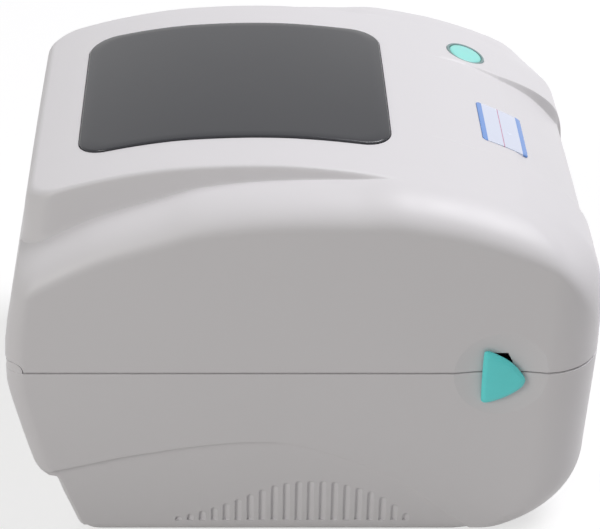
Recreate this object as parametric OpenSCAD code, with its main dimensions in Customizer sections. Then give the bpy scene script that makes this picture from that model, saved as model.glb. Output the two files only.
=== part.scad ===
// Desktop barcode label printer: a clamshell housing round a label roll bay, a direct thermal
// print mechanism and its electronics. The front is -Y, the side with the photographed lever
// is -X, Z is up, and the origin is on the table under the middle of the housing.

/* [Housing] */
// Width over the side walls
body_w = 178; // [172:1:190]
// Depth from the front face to the rear face
body_l = 220; // [210:1:235]
// Height of the parting line above the table
part_z = 76; // [74:0.5:82]
// Rise of the cover's crown above the parting line
cover_rise = 76.3; // [70:0.1:84]
// Gap between the cover's rim and the base's rim
part_gap = 0.6; // [0.4:0.1:1]
// Wall of the two shells
shell_wall = 2.8; // [2.4:0.1:3.2]
// Plan radius of the two front corners
front_corner_r = 22; // [16:1:26]
// Plan radius of the two rear corners
rear_corner_r = 8; // [6:0.5:12]
// Height of the rubber feet
foot_h = 2; // [1.5:0.1:4]
// Diameter of the rubber feet
foot_d = 14; // [10:1:18]

/* [Cover form] */
// Width of the rounded shoulder between a side wall and the hood
shoulder_w = 19.5; // [16:0.5:23]
// Drop of the shoulder from the hood's foot to the side wall
shoulder_drop = 11; // [8:0.5:14]
// Height of the hood's side wall at the rear
hood_h = 20; // [14:0.5:24]
// How far the hood's side wall leans in
hood_inset = 3.2; // [2:0.1:5]
// How far the rear wall leans in at the hood's edge
rear_lean = 10; // [6:0.5:14]
// Crown across the hood
crown_mid = 1.3; // [0.8:0.1:2]
// Further crown across the front
crown_front = 1.6; // [0.8:0.1:2.4]
// Depth of the rounded nose, front to rear
nose_l = 30; // [26:0.5:34]
// Height above the parting line at which the nose begins
nose_rise = 12; // [9:0.5:16]
// Half the width of the front panel where its strips begin
strip_start = 39.5; // [36:0.5:48]
// Half the width of the front panel at the nose
strip_end = 29; // [26:0.5:36]
// Half the width of the front panel at the foot of the nose
strip_foot = 48; // [40:0.5:52]
// Depth of the front panel below its strips at the nose
panel_depth = 1.4; // [1:0.1:4.5]

/* [Window and badge] */
// Width of the window
window_w = 96; // [80:1:104]
// Length of the window
window_l = 115; // [95:1:120]
// Corner radius of the window
window_r = 11; // [6:0.5:16]
// Thickness of the window
window_t = 2; // [1.6:0.1:2.4]
// How far the window stands above the hood
window_proud = 0.8; // [0.4:0.1:1.2]
// Width of the badge
badge_w = 29.5; // [20:0.5:32]
// Height of the badge along the slope
badge_l = 17.5; // [14:0.5:24]
// Thickness of the badge
badge_t = 0.8; // [0.6:0.1:1.2]

/* [Feed button] */
// Diameter of the button's cap
button_d = 13.5; // [11:0.5:15]
// Outer diameter of the ring round the cap
ring_d = 16; // [14.5:0.5:18]
// Travel of the button
button_travel = 1; // [0.6:0.1:1.4]

/* [Release levers] */
// Height of a lever's cap
lever_h = 22.6; // [18:0.2:25]
// Length of a lever's cap, front to rear
lever_l = 16; // [13:0.5:18]
// Thickness of a lever's cap
lever_t = 2.3; // [1.8:0.1:3]
// Diameter of the shallow dish round a lever
dish_d = 35; // [32:0.5:38]
// Depth of that dish
dish_depth = 1.8; // [1.6:0.1:2]
// Swing of the levers
lever_swing = 11; // [8:0.5:13]

/* [Base skirt] */
// Depth of the arched recess
arch_depth = 1.8; // [1.2:0.1:2.2]
// Height of the arch above the table at its crown
arch_top = 45; // [38:0.5:50]
// Number of grooves
groove_count = 20; // [12:1:22]
// Pitch of the grooves
groove_pitch = 4.58; // [4:0.02:4.8]
// Width of a groove
groove_w = 2.4; // [1.6:0.1:2.8]
// Depth of a groove
groove_depth = 1; // [0.6:0.1:1.2]
// Height of the tallest groove
groove_h = 18.6; // [14:0.1:24]

/* [Label roll] */
// Widest label
media_w = 118; // [108:1:122]
// Gap between the two guides at rest
roll_w = 107; // [100:1:112]
// Largest roll diameter
roll_d = 104; // [96:1:108]
// Diameter of the hub that fits the roll's core
hub_d = 24; // [20:0.5:25]
// Inward travel of each guide
guide_travel = 40; // [30:1:40]
// Thickness of a guide
guide_t = 3; // [2.4:0.1:4]
// Module of the guide racks and their pinion
rack_module = 1; // [0.9:0.05:1.1]

/* [Print mechanism] */
// Diameter of the platen rubber
platen_d = 16; // [14:0.5:17]
// Length of the platen rubber
platen_l = 110; // [104:1:112]
// Diameter of the platen shaft
platen_shaft_d = 6; // [5:0.5:7]
// Side of the square stepper motor
motor_side = 35; // [28:0.5:36]
// Length of the stepper motor
motor_l = 30; // [20:1:34]
// Module of the drive gears
gear_module = 0.7; // [0.65:0.05:0.75]
// Face width of the drive gears
gear_w = 5; // [4:0.5:6]
// Width of the thermal head
head_w = 112; // [108:1:114]
// Lift of the thermal head on its pivot
head_lift = 3; // [2:0.5:4]

/* [Hinge and fits] */
// Diameter of the cover's hinge pins
hinge_pin_d = 3; // [2.5:0.1:3.4]
// Opening angle of the cover
cover_open = 90; // [70:1:90]
// Radial clearance of a running fit
run_fit = 0.05; // [0.02:0.01:0.1]
// Clearance between parts that must not touch
clear = 0.3; // [0.2:0.05:0.5]
// Thickness of the steel sheet
sheet_t = 1.5; // [1:0.1:1.8]

/* [Hidden] */

$fn = 48;
over = 1;                    // overrun of cuts
arc_steps = 5;               // segments in a free-form shell's corner
ivory = "#E3E0DC";
dark = "#3A3B3E";
steel = "#B9BCC0";
teal = "#5CC4BF";
white = "#EDEDEA";
pcb_green = "#2E6B4A";
rubber_black = "#26272A";

// Outer limits of the housing
hw = body_w / 2;
fy = -body_l / 2;
ry = body_l / 2;
inner_hw = hw - shell_wall;

// Profile tables: share of the depth from front to rear, share of the height
top_shares = [[0, 0.40], [0.036, 0.575], [0.077, 0.686], [0.116, 0.756], [0.164, 0.816],
  [0.212, 0.864], [0.259, 0.902], [0.318, 0.934], [0.409, 0.970], [0.5, 0.993], [0.577, 1],
  [0.655, 0.994], [0.727, 0.977], [0.809, 0.937], [0.886, 0.882], [0.945, 0.826], [1, 0.765]];
step_shares = [[0, 0], [0.34, 0], [0.365, 0.02], [0.388, 0.06], [0.418, 0.12], [0.51, 0.225],
  [0.593, 0.29], [0.64, 0.335], [0.687, 0.4], [0.733, 0.51], [0.78, 0.59], [0.844, 0.69],
  [0.89, 0.8], [0.945, 0.93], [1, 1]];
// Nose sections: share of the way round, share of the nose's depth, share of its rise
strip_in_shares = [[0, 0.003], [1/6, 0.023], [2/6, 0.067], [3/6, 0.16], [4/6, 0.333],
  [5/6, 0.617], [1, 1]];
strip_up_shares = [[0, 0], [1/6, 0.254], [2/6, 0.445], [3/6, 0.597], [4/6, 0.727],
  [5/6, 0.864], [1, 1]];
panel_in_shares = [[0, 0.05], [1/6, 0.075], [2/6, 0.105], [3/6, 0.16], [4/6, 0.37],
  [5/6, 0.63], [1, 1]];
panel_up_shares = [[0, 0], [1/6, 0.225], [2/6, 0.42], [3/6, 0.49], [4/6, 0.665],
  [5/6, 0.83], [1, 1]];
// Side wall of the hood: share of the way up, share of its lean, share of its height
hood_in_shares = [[0, 0], [0.2, 0.13], [0.5, 0.3], [0.75, 0.5], [0.9, 0.75], [1, 1]];
hood_up_shares = [[0, 0], [0.2, 0.12], [0.5, 0.6], [0.75, 0.89], [0.9, 0.98], [1, 1]];
// Arch over the skirt: share of the depth from front to rear, share of the arch's height
arch_shares = [[0.19, 0.03], [0.215, 0.12], [0.245, 0.235], [0.281, 0.375], [0.31, 0.5],
  [0.334, 0.59], [0.368, 0.69], [0.407, 0.775], [0.448, 0.855], [0.488, 0.925], [0.53, 0.975],
  [0.576, 0.99], [0.624, 0.98], [0.675, 0.952], [0.739, 0.9], [0.81, 0.832], [0.87, 0.758],
  [0.926, 0.69], [0.95, 0.66]];
arch_tail = 0.6;
// Rear of the base: share of the parting height, share of the rear recess
base_rear_shares = [[0.03, 0.93], [0.06, 0.87], [0.1, 0.83], [0.23, 0.695], [0.362, 0.55],
  [0.372, 0.42], [0.4, 0.345], [0.44, 0.295], [0.68, 0.13], [0.89, 0.01], [1, 0.005]];
// Groove heights: share of the row's length, share of the tallest groove
groove_shares = [[0, 0.1], [0.105, 0.235], [0.21, 0.43], [0.316, 0.66], [0.42, 0.885],
  [0.526, 0.99], [0.63, 1], [0.684, 0.98], [0.737, 0.907], [0.84, 0.738], [0.895, 0.59],
  [0.947, 0.4], [1, 0.175]];

// Bow of the base's front
bow_rise = 0.45 * part_z;
bow_l = 40;
bow_lean = 2;
bow_power = 2.3;
base_rear_in = 27.5;
plate_t = 2.6;
plate_top = foot_h + plate_t;
skirt_wall = arch_depth + groove_depth;

// Rolled rim of the base round the hinge's axis, and the cover's notch over it
hinge_y = ry - 3.5;
hinge_z = part_z;
barrel_r = 3.2;
notch_gap = 0.45;
notch_l = 10;
notch_up = 3.8;
notch_down = 3.2;
lug_r = hinge_pin_d / 2 + 1.9;
lug_x = 66;
cover_lug_w = 9;
base_lug_w = 4;
lug_gap = 0.4;
barrel_in = 0.35;
bay_end = 1.4;
lug_bay = [lug_x - lug_gap - base_lug_w - bay_end, lug_x + cover_lug_w + lug_gap + base_lug_w + bay_end];

// Roll bay
under_tray = 20;
tray_wall = 2.4;
roll_clear = 3;
trough_r = roll_d / 2 + roll_clear;
trough_half = media_w / 2 + guide_t + 0.5 * clear + 0.35 * shell_wall / 2.8;
roll_y = ry - 76 * body_l / 220;
roll_z = plate_top + under_tray + tray_wall + trough_r;
flange_z = part_z - 7;
flange_top = flange_z + tray_wall;
tray_gap = 0.4;

// Print mechanism
platen_y = fy + 17;
platen_z = part_z - 5;
cheek_in = platen_l / 2 + 5.8;
cheek_out = cheek_in + sheet_t;
gear_x = cheek_out + 1.7;
platen_teeth = 28;
idler_teeth = 40;
pinion_teeth = 15;
idler_angle = -80;
pinion_angle = -53.8;
idler_c = [platen_y, platen_z] + mesh_distance(platen_teeth, idler_teeth)
  * [cos(idler_angle), sin(idler_angle)];
pinion_c = idler_c + mesh_distance(idler_teeth, pinion_teeth)
  * [cos(pinion_angle), sin(pinion_angle)];
guide_plate_z = flange_top + 0.2;

// Release levers and their hooks
pivot_y = fy + 44;
pivot_z = part_z - 20;
hook_out = inner_hw - 5.2;
hook_w = 4;
latch_shaft_r = 3;
striker_y = pivot_y + 2.2;
striker_z = part_z + 0.2;
striker_r = 1.5;

// Cover frame
rail_z = part_z + 8;
rail_t = 2.4;
rail_in = cheek_out + 3.7;
rail_out = inner_hw - 1.8;
deck_z = rail_z + 13;
head_pivot_y = fy + 40;
head_pivot_z = rail_z + 6;
head_pin_r = 2;
head_z = platen_z + platen_d / 2 + clear;

// Feed button
button_x = 46.5;
button_y = fy + 42.4;

function mesh_distance(a, b) = gear_module * (a + b) / 2;

// Smooth curve through a table of [place, value]
function span_of(t, x, i = 0) = (i >= len(t) - 2 || x < t[i + 1][0]) ? i : span_of(t, x, i + 1);
function rate(t, i) = let (a = t[max(i - 1, 0)], b = t[min(i + 1, len(t) - 1)])
  (b[1] - a[1]) / (b[0] - a[0]);
function curve(t, x) = let (i = span_of(t, x), h = t[i + 1][0] - t[i][0],
  u = max(0, min(1, (x - t[i][0]) / h)))
  t[i][1] * (1 + 2 * u) * (1 - u) * (1 - u) + rate(t, i) * h * u * (1 - u) * (1 - u)
  + t[i + 1][1] * u * u * (3 - 2 * u) - rate(t, i + 1) * h * u * u * (1 - u);
function ease(u) = let (k = max(0, min(1, u))) k * k * (3 - 2 * k);
function along(y) = (y - fy) / body_l;

// Height of the cover's skin before the front panel is sunk
hood_half = hw - shoulder_w;
function crown(y) = crown_mid + crown_front * ease((0.55 - along(y)) / 0.3);
function top(x, y) = part_z + cover_rise * curve(top_shares, along(y))
  - crown(y) * pow(min(abs(x), hood_half) / hood_half, 2);
function hood_step(y) = hood_h * curve(step_shares, along(y));
function shoulder(x, y) = top(x, y) - hood_step(y);
function strip_x(y) = strip_end + (strip_start - strip_end)
  * min(1, max(0, along(y)) / 0.318);
function panel_drop(y) = panel_depth * pow(max(0, (0.318 - along(y)) / 0.182), 1.6);

// One half ring of a plan outline: front edge, corner, side, corner, rear edge
function corner(cx, cy, r, from, to) = [for (k = [0:arc_steps])
  let (a = from + (to - from) * k / arc_steps) [cx + r * cos(a), cy + r * sin(a)]];
function plan_half(a, f, r, rf, rr) = concat([[0, f]], corner(a - rf, f + rf, rf, -90, 0),
  corner(a - rr, r - rr, rr, 0, 90), [[0, r]]);
function whole(half) = concat(half, [for (i = [len(half) - 2:-1:1]) [-half[i][0], half[i][1]]]);
function plan(a, f, r, rf, rr) = whole(plan_half(a, f, r, rf, rr));

// Closed skin through rings of equal count, with a fan at each end
module skin(rings) {
  n = len(rings[0]);
  m = len(rings);
  ends = [rings[0], rings[m - 1]];
  mids = [for (e = ends) [for (c = [0:2]) [for (p = e) p[c]] * [for (p = e) 1] / n]];
  polyhedron(
    points = concat([for (r = rings) each r], mids),
    faces = concat(
      [for (i = [0:n - 1]) [m * n, i, (i + 1) % n]],
      [for (k = [0:m - 2]) for (i = [0:n - 1]) let (j = (i + 1) % n)
        each [[k * n + i, (k + 1) * n + i, (k + 1) * n + j], [k * n + i, (k + 1) * n + j, k * n + j]]],
      [for (i = [0:n - 1]) [m * n + 1, (m - 1) * n + (i + 1) % n, (m - 1) * n + i]]));
}

// Rings of the cover. Level 0 to 1 is the wall, to 2 the shoulder and nose, to 3 the hood's
// wall and to 4 the roof. The inner skin is set in by off.
panel_cells = 4;
strip_cells = 2;
side_cells = 15;
rear_cells = 3;
rear_rise = 0.8 * cover_rise;
lean_share = 0.465;          // share of the rear lean that lies under the hood's foot
lean_reach = 0.567;          // share of the rear's rise at which that lean is reached
lean_power = 1.8;            // bulge of the rear: 1 is straight
function side_z(x, y, v) = let (xc = min(x, hood_half), low = shoulder(xc, y) - shoulder_drop)
  v <= 1 ? part_z + (low - part_z) * v :
  v <= 2 ? low + shoulder_drop * sin(90 * (v - 1)) :
  v <= 3 ? shoulder(x, y) + hood_step(y) * curve(hood_up_shares, v - 2) : top(x, y);
function front_z(x, y, v, shares, drop) = let (z0 = part_z + nose_rise)
  v <= 1 ? part_z + nose_rise * v :
  v <= 2 ? z0 + (top(x, fy + nose_l) - drop - z0) * curve(shares, v - 1) : top(x, y) - drop;
function front_in(v, shares) = nose_l * curve(shares, max(0, min(1, v - 1)));
function cover_ring(v, off) = let (
  t = max(0, min(1, v - 1)), s = max(0, min(1, v - 2)), u = max(0, v - 3),
  sink = off * min(1, max(0, v - 1) * 1.5),
  rear_low = side_z(0, ry - rear_lean, min(v, 2)) - part_z,
  lean = rear_lean * lean_share * pow(max(0, rear_low - notch_up) / (rear_rise * lean_reach), lean_power),
  a = (hw - shoulder_w * (1 - cos(90 * t)) - hood_inset * curve(hood_in_shares, s))
    * lookup(u, [[0, 1], [0.4, 0.8], [1, 0.04]]) - off,
  f = fy + (nose_l * (v <= 2 ? curve(strip_in_shares, t) : 1) + hood_inset * s)
    * lookup(u, [[0, 1], [0.4, 2.1], [1, 3.9]]) + off,
  r = (ry - lean - (rear_lean * 0.6) * curve(hood_in_shares, s))
    * lookup(u, [[0, 1], [0.4, 0.78], [1, 0.2]]) - off,
  rf = max(1, (front_corner_r * (1 - 0.35 * t)) * lookup(u, [[0, 1], [0.4, 0.5], [1, 0.05]]) - off),
  rr = max(1, (rear_corner_r + 3 * t) * lookup(u, [[0, 1], [1, 0.1]]) - off),
  strip = v < 2 ? strip_x(fy + nose_l) + (strip_foot - strip_x(fy + nose_l)) * pow(1 - t, 0.75) : strip_x(f),
  foot = min(strip, 0.72 * (a - rf)), crest = min(foot + 1.4, 0.78 * (a - rf)),
  drop = v < 2 ? panel_drop(fy + nose_l) : panel_drop(f),
  fp = v < 2 ? fy + front_in(v, panel_in_shares) + off : f,
  half = concat(
    [for (k = [0:panel_cells]) let (x = foot * k / panel_cells)
      [x, fp, front_z(x, f, v, panel_up_shares, drop)]],
    [for (k = [0:strip_cells]) let (x = crest + (a - rf - crest) * k / strip_cells)
      [x, f, front_z(x, f, v, strip_up_shares, 0)]],
    [for (k = [1:arc_steps]) let (g = 90 * k / arc_steps, x = a - rf + rf * sin(g),
      y = f + rf - rf * cos(g), w = cos(g) * cos(g))
      [x, y, w * front_z(x, v < 2 ? f : y, v, strip_up_shares, 0) + (1 - w) * side_z(x, y, v)]],
    [for (k = [1:side_cells]) let (y = f + rf + (r - rr - f - rf) * k / side_cells)
      [a, y, side_z(a, y, v)]],
    [for (k = [1:arc_steps]) let (g = 90 * k / arc_steps, x = a - rr + rr * cos(g),
      y = r - rr + rr * sin(g)) [x, y, side_z(x, y, v)]],
    [for (k = [1:rear_cells]) let (x = (a - rr) * (1 - k / rear_cells)) [x, r, side_z(x, r, v)]]))
  [for (p = concat(half, [for (i = [len(half) - 2:-1:1]) [-half[i][0], half[i][1], half[i][2]]]))
    [p[0], p[1], v == 0 ? part_z - (off > 0 ? over : 0) : p[2] - sink]];
cover_levels = [0, 0.5, 1, 1.12, 1.25, 1.4, 1.55, 1.7, 1.85, 2, 2.2, 2.5, 2.75, 2.9, 3,
  3.12, 3.25, 3.4, 3.6, 3.8, 4];
inner_levels = [0, 0.5, 1, 1.2, 1.4, 1.7, 2, 2.3, 2.75, 3, 3.2, 3.4, 3.7, 4];
module cover_solid(levels, off) { skin([for (v = levels) cover_ring(v, off)]); }

// Patch that follows the cover's skin, between two heights over it. The front panel's drop
// is a straight grade over a patch as small as the badge.
function patch_plan(w, l, r, cy, k) = plan(k * w / 2, cy - k * l / 2, cy + k * l / 2,
  max(0.01, k) * r, max(0.01, k) * r);
function cells_of(ring, cell) = [for (i = [0:len(ring) - 1])
  max(1, ceil(norm(ring[(i + 1) % len(ring)] - ring[i]) / cell))];
function dense(ring, cells) = [for (i = [0:len(ring) - 1]) for (k = [0:cells[i] - 1])
  let (j = (i + 1) % len(ring)) ring[i] + (ring[j] - ring[i]) * k / cells[i]];
module patch(w, l, r, c, low, high, cell, sunk = 0) {
  ks = [0.05, 0.35, 0.7, 1];
  cells = cells_of(patch_plan(w, l, r, c[1], 1), cell);
  function at(k, lift) = [for (p = dense([for (q = patch_plan(w, l, r, c[1], k))
    [q[0] + c[0], q[1]]], cells)) [p[0], p[1], top(p[0], p[1]) - sunk * panel_drop(p[1]) + lift]];
  skin(concat([for (k = ks) at(k, low)], [for (i = [3:-1:0]) at(ks[i], high)]));
}

// Rings of the base
function bow(z) = let (q = max(0, min(1, (bow_rise - z) / (bow_rise - 1))))
  bow_lean * min(1, max(0, (part_z - z) / (part_z - bow_rise)) * 1.0)
  + bow_l * (1 - pow(1 - pow(q, bow_power), 1 / bow_power));
function base_rear(z) = base_rear_in * curve(base_rear_shares, z / part_z);
function base_ring(z) = [for (p = plan(hw, fy + bow(z), ry - base_rear(z), front_corner_r,
  rear_corner_r)) [p[0], p[1], z]];
function base_inner_ring(z) = let (low = ease((arch_top + 4 - z) / 4) * skirt_wall)
  [for (p = plan(inner_hw - low, fy + bow(z - 0.8 * shell_wall) + shell_wall,
    ry - base_rear(z - (z < 0.5 * part_z ? shell_wall : 0)) - shell_wall,
    front_corner_r - shell_wall, rear_corner_r - shell_wall)) [p[0], p[1], z]];
base_rim = part_z - part_gap;
base_z_shares = [0, 0.03, 0.07, 0.12, 0.19, 0.27, 0.324, 0.3345, 0.365, 0.41, 0.55, 0.7, 0.87, 1];
base_levels = [for (k = base_z_shares) plate_top + k * (base_rim - plate_top)];
base_inner_levels = concat([plate_top - over], [for (k = [0.02, 0.07, 0.12, 0.19, 0.27, 0.36, 0.375,
  0.41, 0.53, 0.6, 0.7, 0.87]) plate_top + k * (base_rim - plate_top)], [base_rim + over]);
module base_solid() { skin([for (z = base_levels) base_ring(z)]); }
module base_hollow() { skin([for (z = base_inner_levels) base_inner_ring(z)]); }

// Things placed on both sides
module both() { children(); mirror([1, 0, 0]) children(); }
// Prism along X of an outline in Y and Z
module along_x(x0, x1) { translate([x0, 0, 0]) rotate([90, 0, 90]) linear_extrude(x1 - x0) children(); }
module rod_x(x0, x1, r, y, z) { translate([x0, y, z]) rotate([0, 90, 0]) cylinder(r = r, h = x1 - x0); }
module box(lo, hi) { translate(lo) cube(hi - lo); }
module screw(r, length, head_r, head_h) {
  cylinder(r = r, h = length);
  translate([0, 0, -head_h]) cylinder(r = head_r, h = head_h);
}

// Lever dish and slot, shared by the two shells
lever_rear = fy + 45.1;
lever_mid_z = part_z - 1.6;
dish_y = lever_rear - 0.45 * lever_l;
dish_z = part_z - 0.6;
dish_ball = (pow(dish_d / 2, 2) + pow(dish_depth, 2)) / (2 * dish_depth);
slot_top = lever_mid_z + lever_h / 2 - 1.7;
slot_back = lever_rear - 0.6;
slot_front = slot_back - 10.5;
module lever_dish() {
  both() translate([hw + dish_ball - dish_depth, dish_y, dish_z]) sphere(dish_ball, $fn = 144);
}
module lever_slot() {
  both() along_x(hw - skirt_wall - shell_wall - over, hw + over)
    polygon([[slot_back, slot_top], [slot_back, part_z - 10], [slot_front + 1.5, part_z - 10],
      [slot_front, part_z - 7], [slot_front, part_z + 4], [slot_front + 2, slot_top]]);
}

/* Base */
arch_front = along_y(arch_shares[0][0]);
function along_y(k) = fy + k * body_l;
module arch_cut() {
  k0 = arch_shares[0][0];
  k1 = arch_shares[len(arch_shares) - 1][0];
  pts = [for (i = [0:40]) let (k = k0 + (k1 - k0) * i / 40) [along_y(k), arch_top * curve(arch_shares, k)]];
  both() along_x(hw - arch_depth, hw + over)
    polygon(concat([[arch_front, 0]], pts, [[ry + over, arch_tail * arch_top], [ry + over, 0]]));
}
groove_first = ry - 62.9 * body_l / 220;
groove_foot = plate_top + 2.1;
module grooves() {
  both() for (i = [0:groove_count - 1]) {
    h = groove_h * curve(groove_shares, i / (groove_count - 1));
    translate([hw - arch_depth - groove_depth, groove_first - i * groove_pitch, groove_foot])
      along_x(0, groove_depth + arch_depth + over)
        polygon([[-groove_w / 2, 0], [groove_w / 2, 0], [groove_w / 2, h - groove_w / 3],
          [groove_w / 5, h], [-groove_w / 5, h], [-groove_w / 2, h - groove_w / 3]]);
  }
}
boss_r = 4;
boss_x = inner_hw - skirt_wall - boss_r + 0.8;
base_boss_ys = [for (k = [0.3, 0.57, 0.8]) along_y(k)];
boss_h = 17;
screw_r = 1.5;
bay_lo = [6, ry - 29.5, plate_top];
bay_hi = [78, ry - 15, plate_top + 22.5];
bay_wall = 2;
bay_floor = ry - 27;
module socket_bay_block() { box(bay_lo, bay_hi); }
module socket_bay_cut() {
  box([bay_lo[0] + bay_wall, bay_floor, bay_lo[2] + bay_wall],
    [bay_hi[0] - bay_wall, ry, bay_hi[2] - bay_wall]);
  box([bay_lo[0] + 2 * bay_wall, bay_lo[1] - over, bay_lo[2] + 2 * bay_wall],
    [bay_hi[0] - 2 * bay_wall, bay_floor + over, bay_hi[2] - 2 * bay_wall]);
}
tray_screw_places = [for (x = [-inner_hw + 9, inner_hw - 9]) for (y = [roll_y - 40, roll_y + 30]) [x, y]];
ledge_w = 10;
module tray_ledge() {
  rotate([90, 0, 0]) translate([0, 0, -ledge_w / 2]) linear_extrude(ledge_w)
    polygon([[inner_hw + 0.5 * shell_wall, flange_z], [inner_hw - 13.5, flange_z],
      [inner_hw - 13.5, flange_z - 9], [inner_hw + 0.5 * shell_wall, flange_z - 24]]);
}
fold_half = 56;
fold_lo = part_z - 17;
fold_hi = part_z - 9;
module base_shell() {
  color(ivory) resize([0, 0, 0]) difference() {
    union() {
      difference() { base_solid(); base_hollow(); }
      intersection() {
        linear_extrude(part_z + 2 * barrel_r) polygon(plan(hw - barrel_in, fy, ry - barrel_in, front_corner_r,
          rear_corner_r - barrel_in));
        rod_x(-hw, hw, barrel_r, hinge_y, hinge_z);
      }
      intersection() {
        base_solid();
        union() {
          both() for (y = base_boss_ys) translate([boss_x, y, plate_top]) cylinder(r = boss_r, h = boss_h, $fn = 20);
          socket_bay_block();
          both() for (y = [roll_y - 40, roll_y + 30]) translate([0, y, 0]) tray_ledge();
        }
      }
    }
    both() for (y = base_boss_ys) translate([boss_x, y, plate_top - over])
      cylinder(r = screw_r + clear, h = boss_h - 2, $fn = 16);
    for (p = tray_screw_places) translate([p[0], p[1], flange_z - 12])
      cylinder(r = screw_r + clear, h = 12 + over, $fn = 16);
    socket_bay_cut();
    arch_cut();
    grooves();
    lever_dish();
    lever_slot();
    box([-fold_half, hinge_y - 12, fold_lo], [fold_half, ry + over, fold_hi]);
    both() along_x(lug_bay[0], lug_bay[1]) polygon([[ry - 1.13 * notch_l, base_rim + over],
      [hinge_y - 0.7, base_rim - notch_down], [ry + over, base_rim - notch_down],
      [ry + over, hinge_z + barrel_r + over], [ry - 1.13 * notch_l, hinge_z + barrel_r + over]]);
  }
}

foot_x = hw - 21;
foot_ys = [fy + 46, ry - 38];
plate_front = fy + 28;
plate_rear = ry - 24.8;
plate_lip = 0.7;
board_z = plate_top + 5.4;
board_t = 1.6;
board_lo = [-70, fy + 64, board_z];
board_hi = [hw - 17, ry - 30, board_z + board_t];
stand_inset = 5;
stand_places = [for (x = [board_lo[0] + stand_inset, board_hi[0] - stand_inset])
  for (y = [board_lo[1] + stand_inset, board_hi[1] - stand_inset - 8]) [x, y]];
frame_floor = plate_top + 7.4;
frame_foot_places = [for (x = [-cheek_in + 8, cheek_in - motor_l - 8]) for (y = [platen_y + 21, platen_y + 32]) [x, y]];
module bottom_plate() {
  color(ivory) difference() {
    union() {
      for (k = [0, 1]) translate([0, 0, foot_h + k * plate_t / 2]) linear_extrude(plate_t / 2)
        polygon(plan(hw - arch_depth - plate_lip * (2 - k), plate_front + 6 * (1 - k),
          plate_rear - plate_lip * (1 - k), 18, 7));
      for (p = stand_places) translate([p[0], p[1], plate_top - plate_t / 2])
        cylinder(r = 3, h = board_z - plate_top + plate_t / 2);
      for (p = frame_foot_places) translate([p[0], p[1], plate_top - plate_t / 2])
        cylinder(r = 4, h = frame_floor - plate_top + plate_t / 2);
    }
    both() for (y = base_boss_ys) translate([boss_x, y, foot_h - over]) {
      cylinder(r = screw_r + clear, h = plate_t + 2 * over);
      cylinder(r = 3.2, h = over + 0.7 * plate_t);
    }
    for (p = stand_places) translate([p[0], p[1], plate_top]) cylinder(r = 1.2, h = board_z);
    for (p = frame_foot_places) translate([p[0], p[1], plate_top]) cylinder(r = 1.2, h = board_z);
    for (x = [-foot_x, foot_x]) for (y = foot_ys) translate([x, y, foot_h - over])
      cylinder(r = 2.5, h = plate_t + 2 * over);
  }
}
module rubber_feet() {
  color(rubber_black) for (x = [-foot_x, foot_x]) for (y = foot_ys) translate([x, y, 0]) {
    cylinder(r = foot_d / 2, h = foot_h);
    cylinder(r = 2.5, h = foot_h + plate_t);
  }
}
module bottom_screws() {
  color(steel) both() for (y = base_boss_ys) translate([boss_x, y, foot_h + 0.7 * plate_t])
    screw(screw_r, boss_h - 4, 2.8, 0.6 * plate_t);
}

// Lug of the hinge: an eye with an arm towards a seat below or above it
module lug(x0, x1, arm) {
  along_x(x0, x1) polygon(arm);
  rod_x(x0, x1, lug_r, hinge_y, hinge_z);
}
base_lugs = [[lug_x - lug_gap - base_lug_w, lug_x - lug_gap],
  [lug_x + cover_lug_w + lug_gap, lug_x + cover_lug_w + lug_gap + base_lug_w]];
pin_lug_r = hinge_pin_d / 2;
tray_rear = ry - base_rear(flange_z) - shell_wall - tray_gap;
tray_front = roll_y - trough_r;
module tray_plan() {
  polygon(plan(inner_hw - tray_gap, tray_front - tray_wall, tray_rear, 2, rear_corner_r - shell_wall));
}
rack_pinion_teeth = 16;
pinion_pitch_r = rack_module * rack_pinion_teeth / 2;
rack_z = plate_top + 14;
rack_t = 4;
rack_back = 4.3;
slot_w = 4;
leg_w = slot_w - 2 * clear;
leg_c = pinion_pitch_r + rack_back - leg_w / 2 - 0.5;
pinion_pin_r = 2.5;
rest_half = roll_w / 2;
module media_tray() {
  floor_z = roll_z - trough_r;
  color(dark) difference() {
    union() {
      translate([0, 0, flange_z]) linear_extrude(tray_wall) tray_plan();
      intersection() {
        rod_x(-trough_half - tray_wall, trough_half + tray_wall, trough_r + tray_wall, roll_y, roll_z);
        box([-hw, fy, 0], [hw, ry, flange_top]);
      }
      both() for (l = base_lugs) lug(l[0], l[1], [[hinge_y - 15, flange_z], [tray_rear, flange_z],
        [tray_rear, flange_top], [hinge_y, hinge_z - lug_r], [hinge_y, hinge_z + lug_r],
        [hinge_y - 3, hinge_z + lug_r], [hinge_y - 15, flange_top]]);
      translate([0, roll_y, rack_z - 0.6]) cylinder(r = pinion_pin_r, h = floor_z - rack_z);
      translate([0, roll_y, rack_z + rack_t + 0.2]) cylinder(r = 5, h = floor_z - rack_z - rack_t - tray_wall / 2);
    }
    rod_x(-trough_half, trough_half, trough_r, roll_y, roll_z);
    both() for (l = base_lugs) rod_x(l[0] - over, l[1] + over, pin_lug_r, hinge_y, hinge_z);
    box([-trough_half, roll_y - leg_c - slot_w / 2, rack_z + rack_t], [-6, roll_y - leg_c + slot_w / 2, roll_z - 30]);
    box([6, roll_y + leg_c - slot_w / 2, rack_z + rack_t], [trough_half, roll_y + leg_c + slot_w / 2, roll_z - 30]);
    for (p = tray_screw_places) translate([p[0], p[1], flange_z - over])
      cylinder(r = screw_r + clear, h = tray_wall + 2 * over);
    box([-fold_half, roll_y + 0.8 * trough_r, fold_lo], [fold_half, roll_y + trough_r + 2 * tray_wall, fold_hi]);
  }
}
module tray_screws() {
  color(steel) for (p = tray_screw_places) translate([p[0], p[1], flange_top]) mirror([0, 0, 1])
    screw(screw_r, 10, 2.8, 1.5);
}

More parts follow.
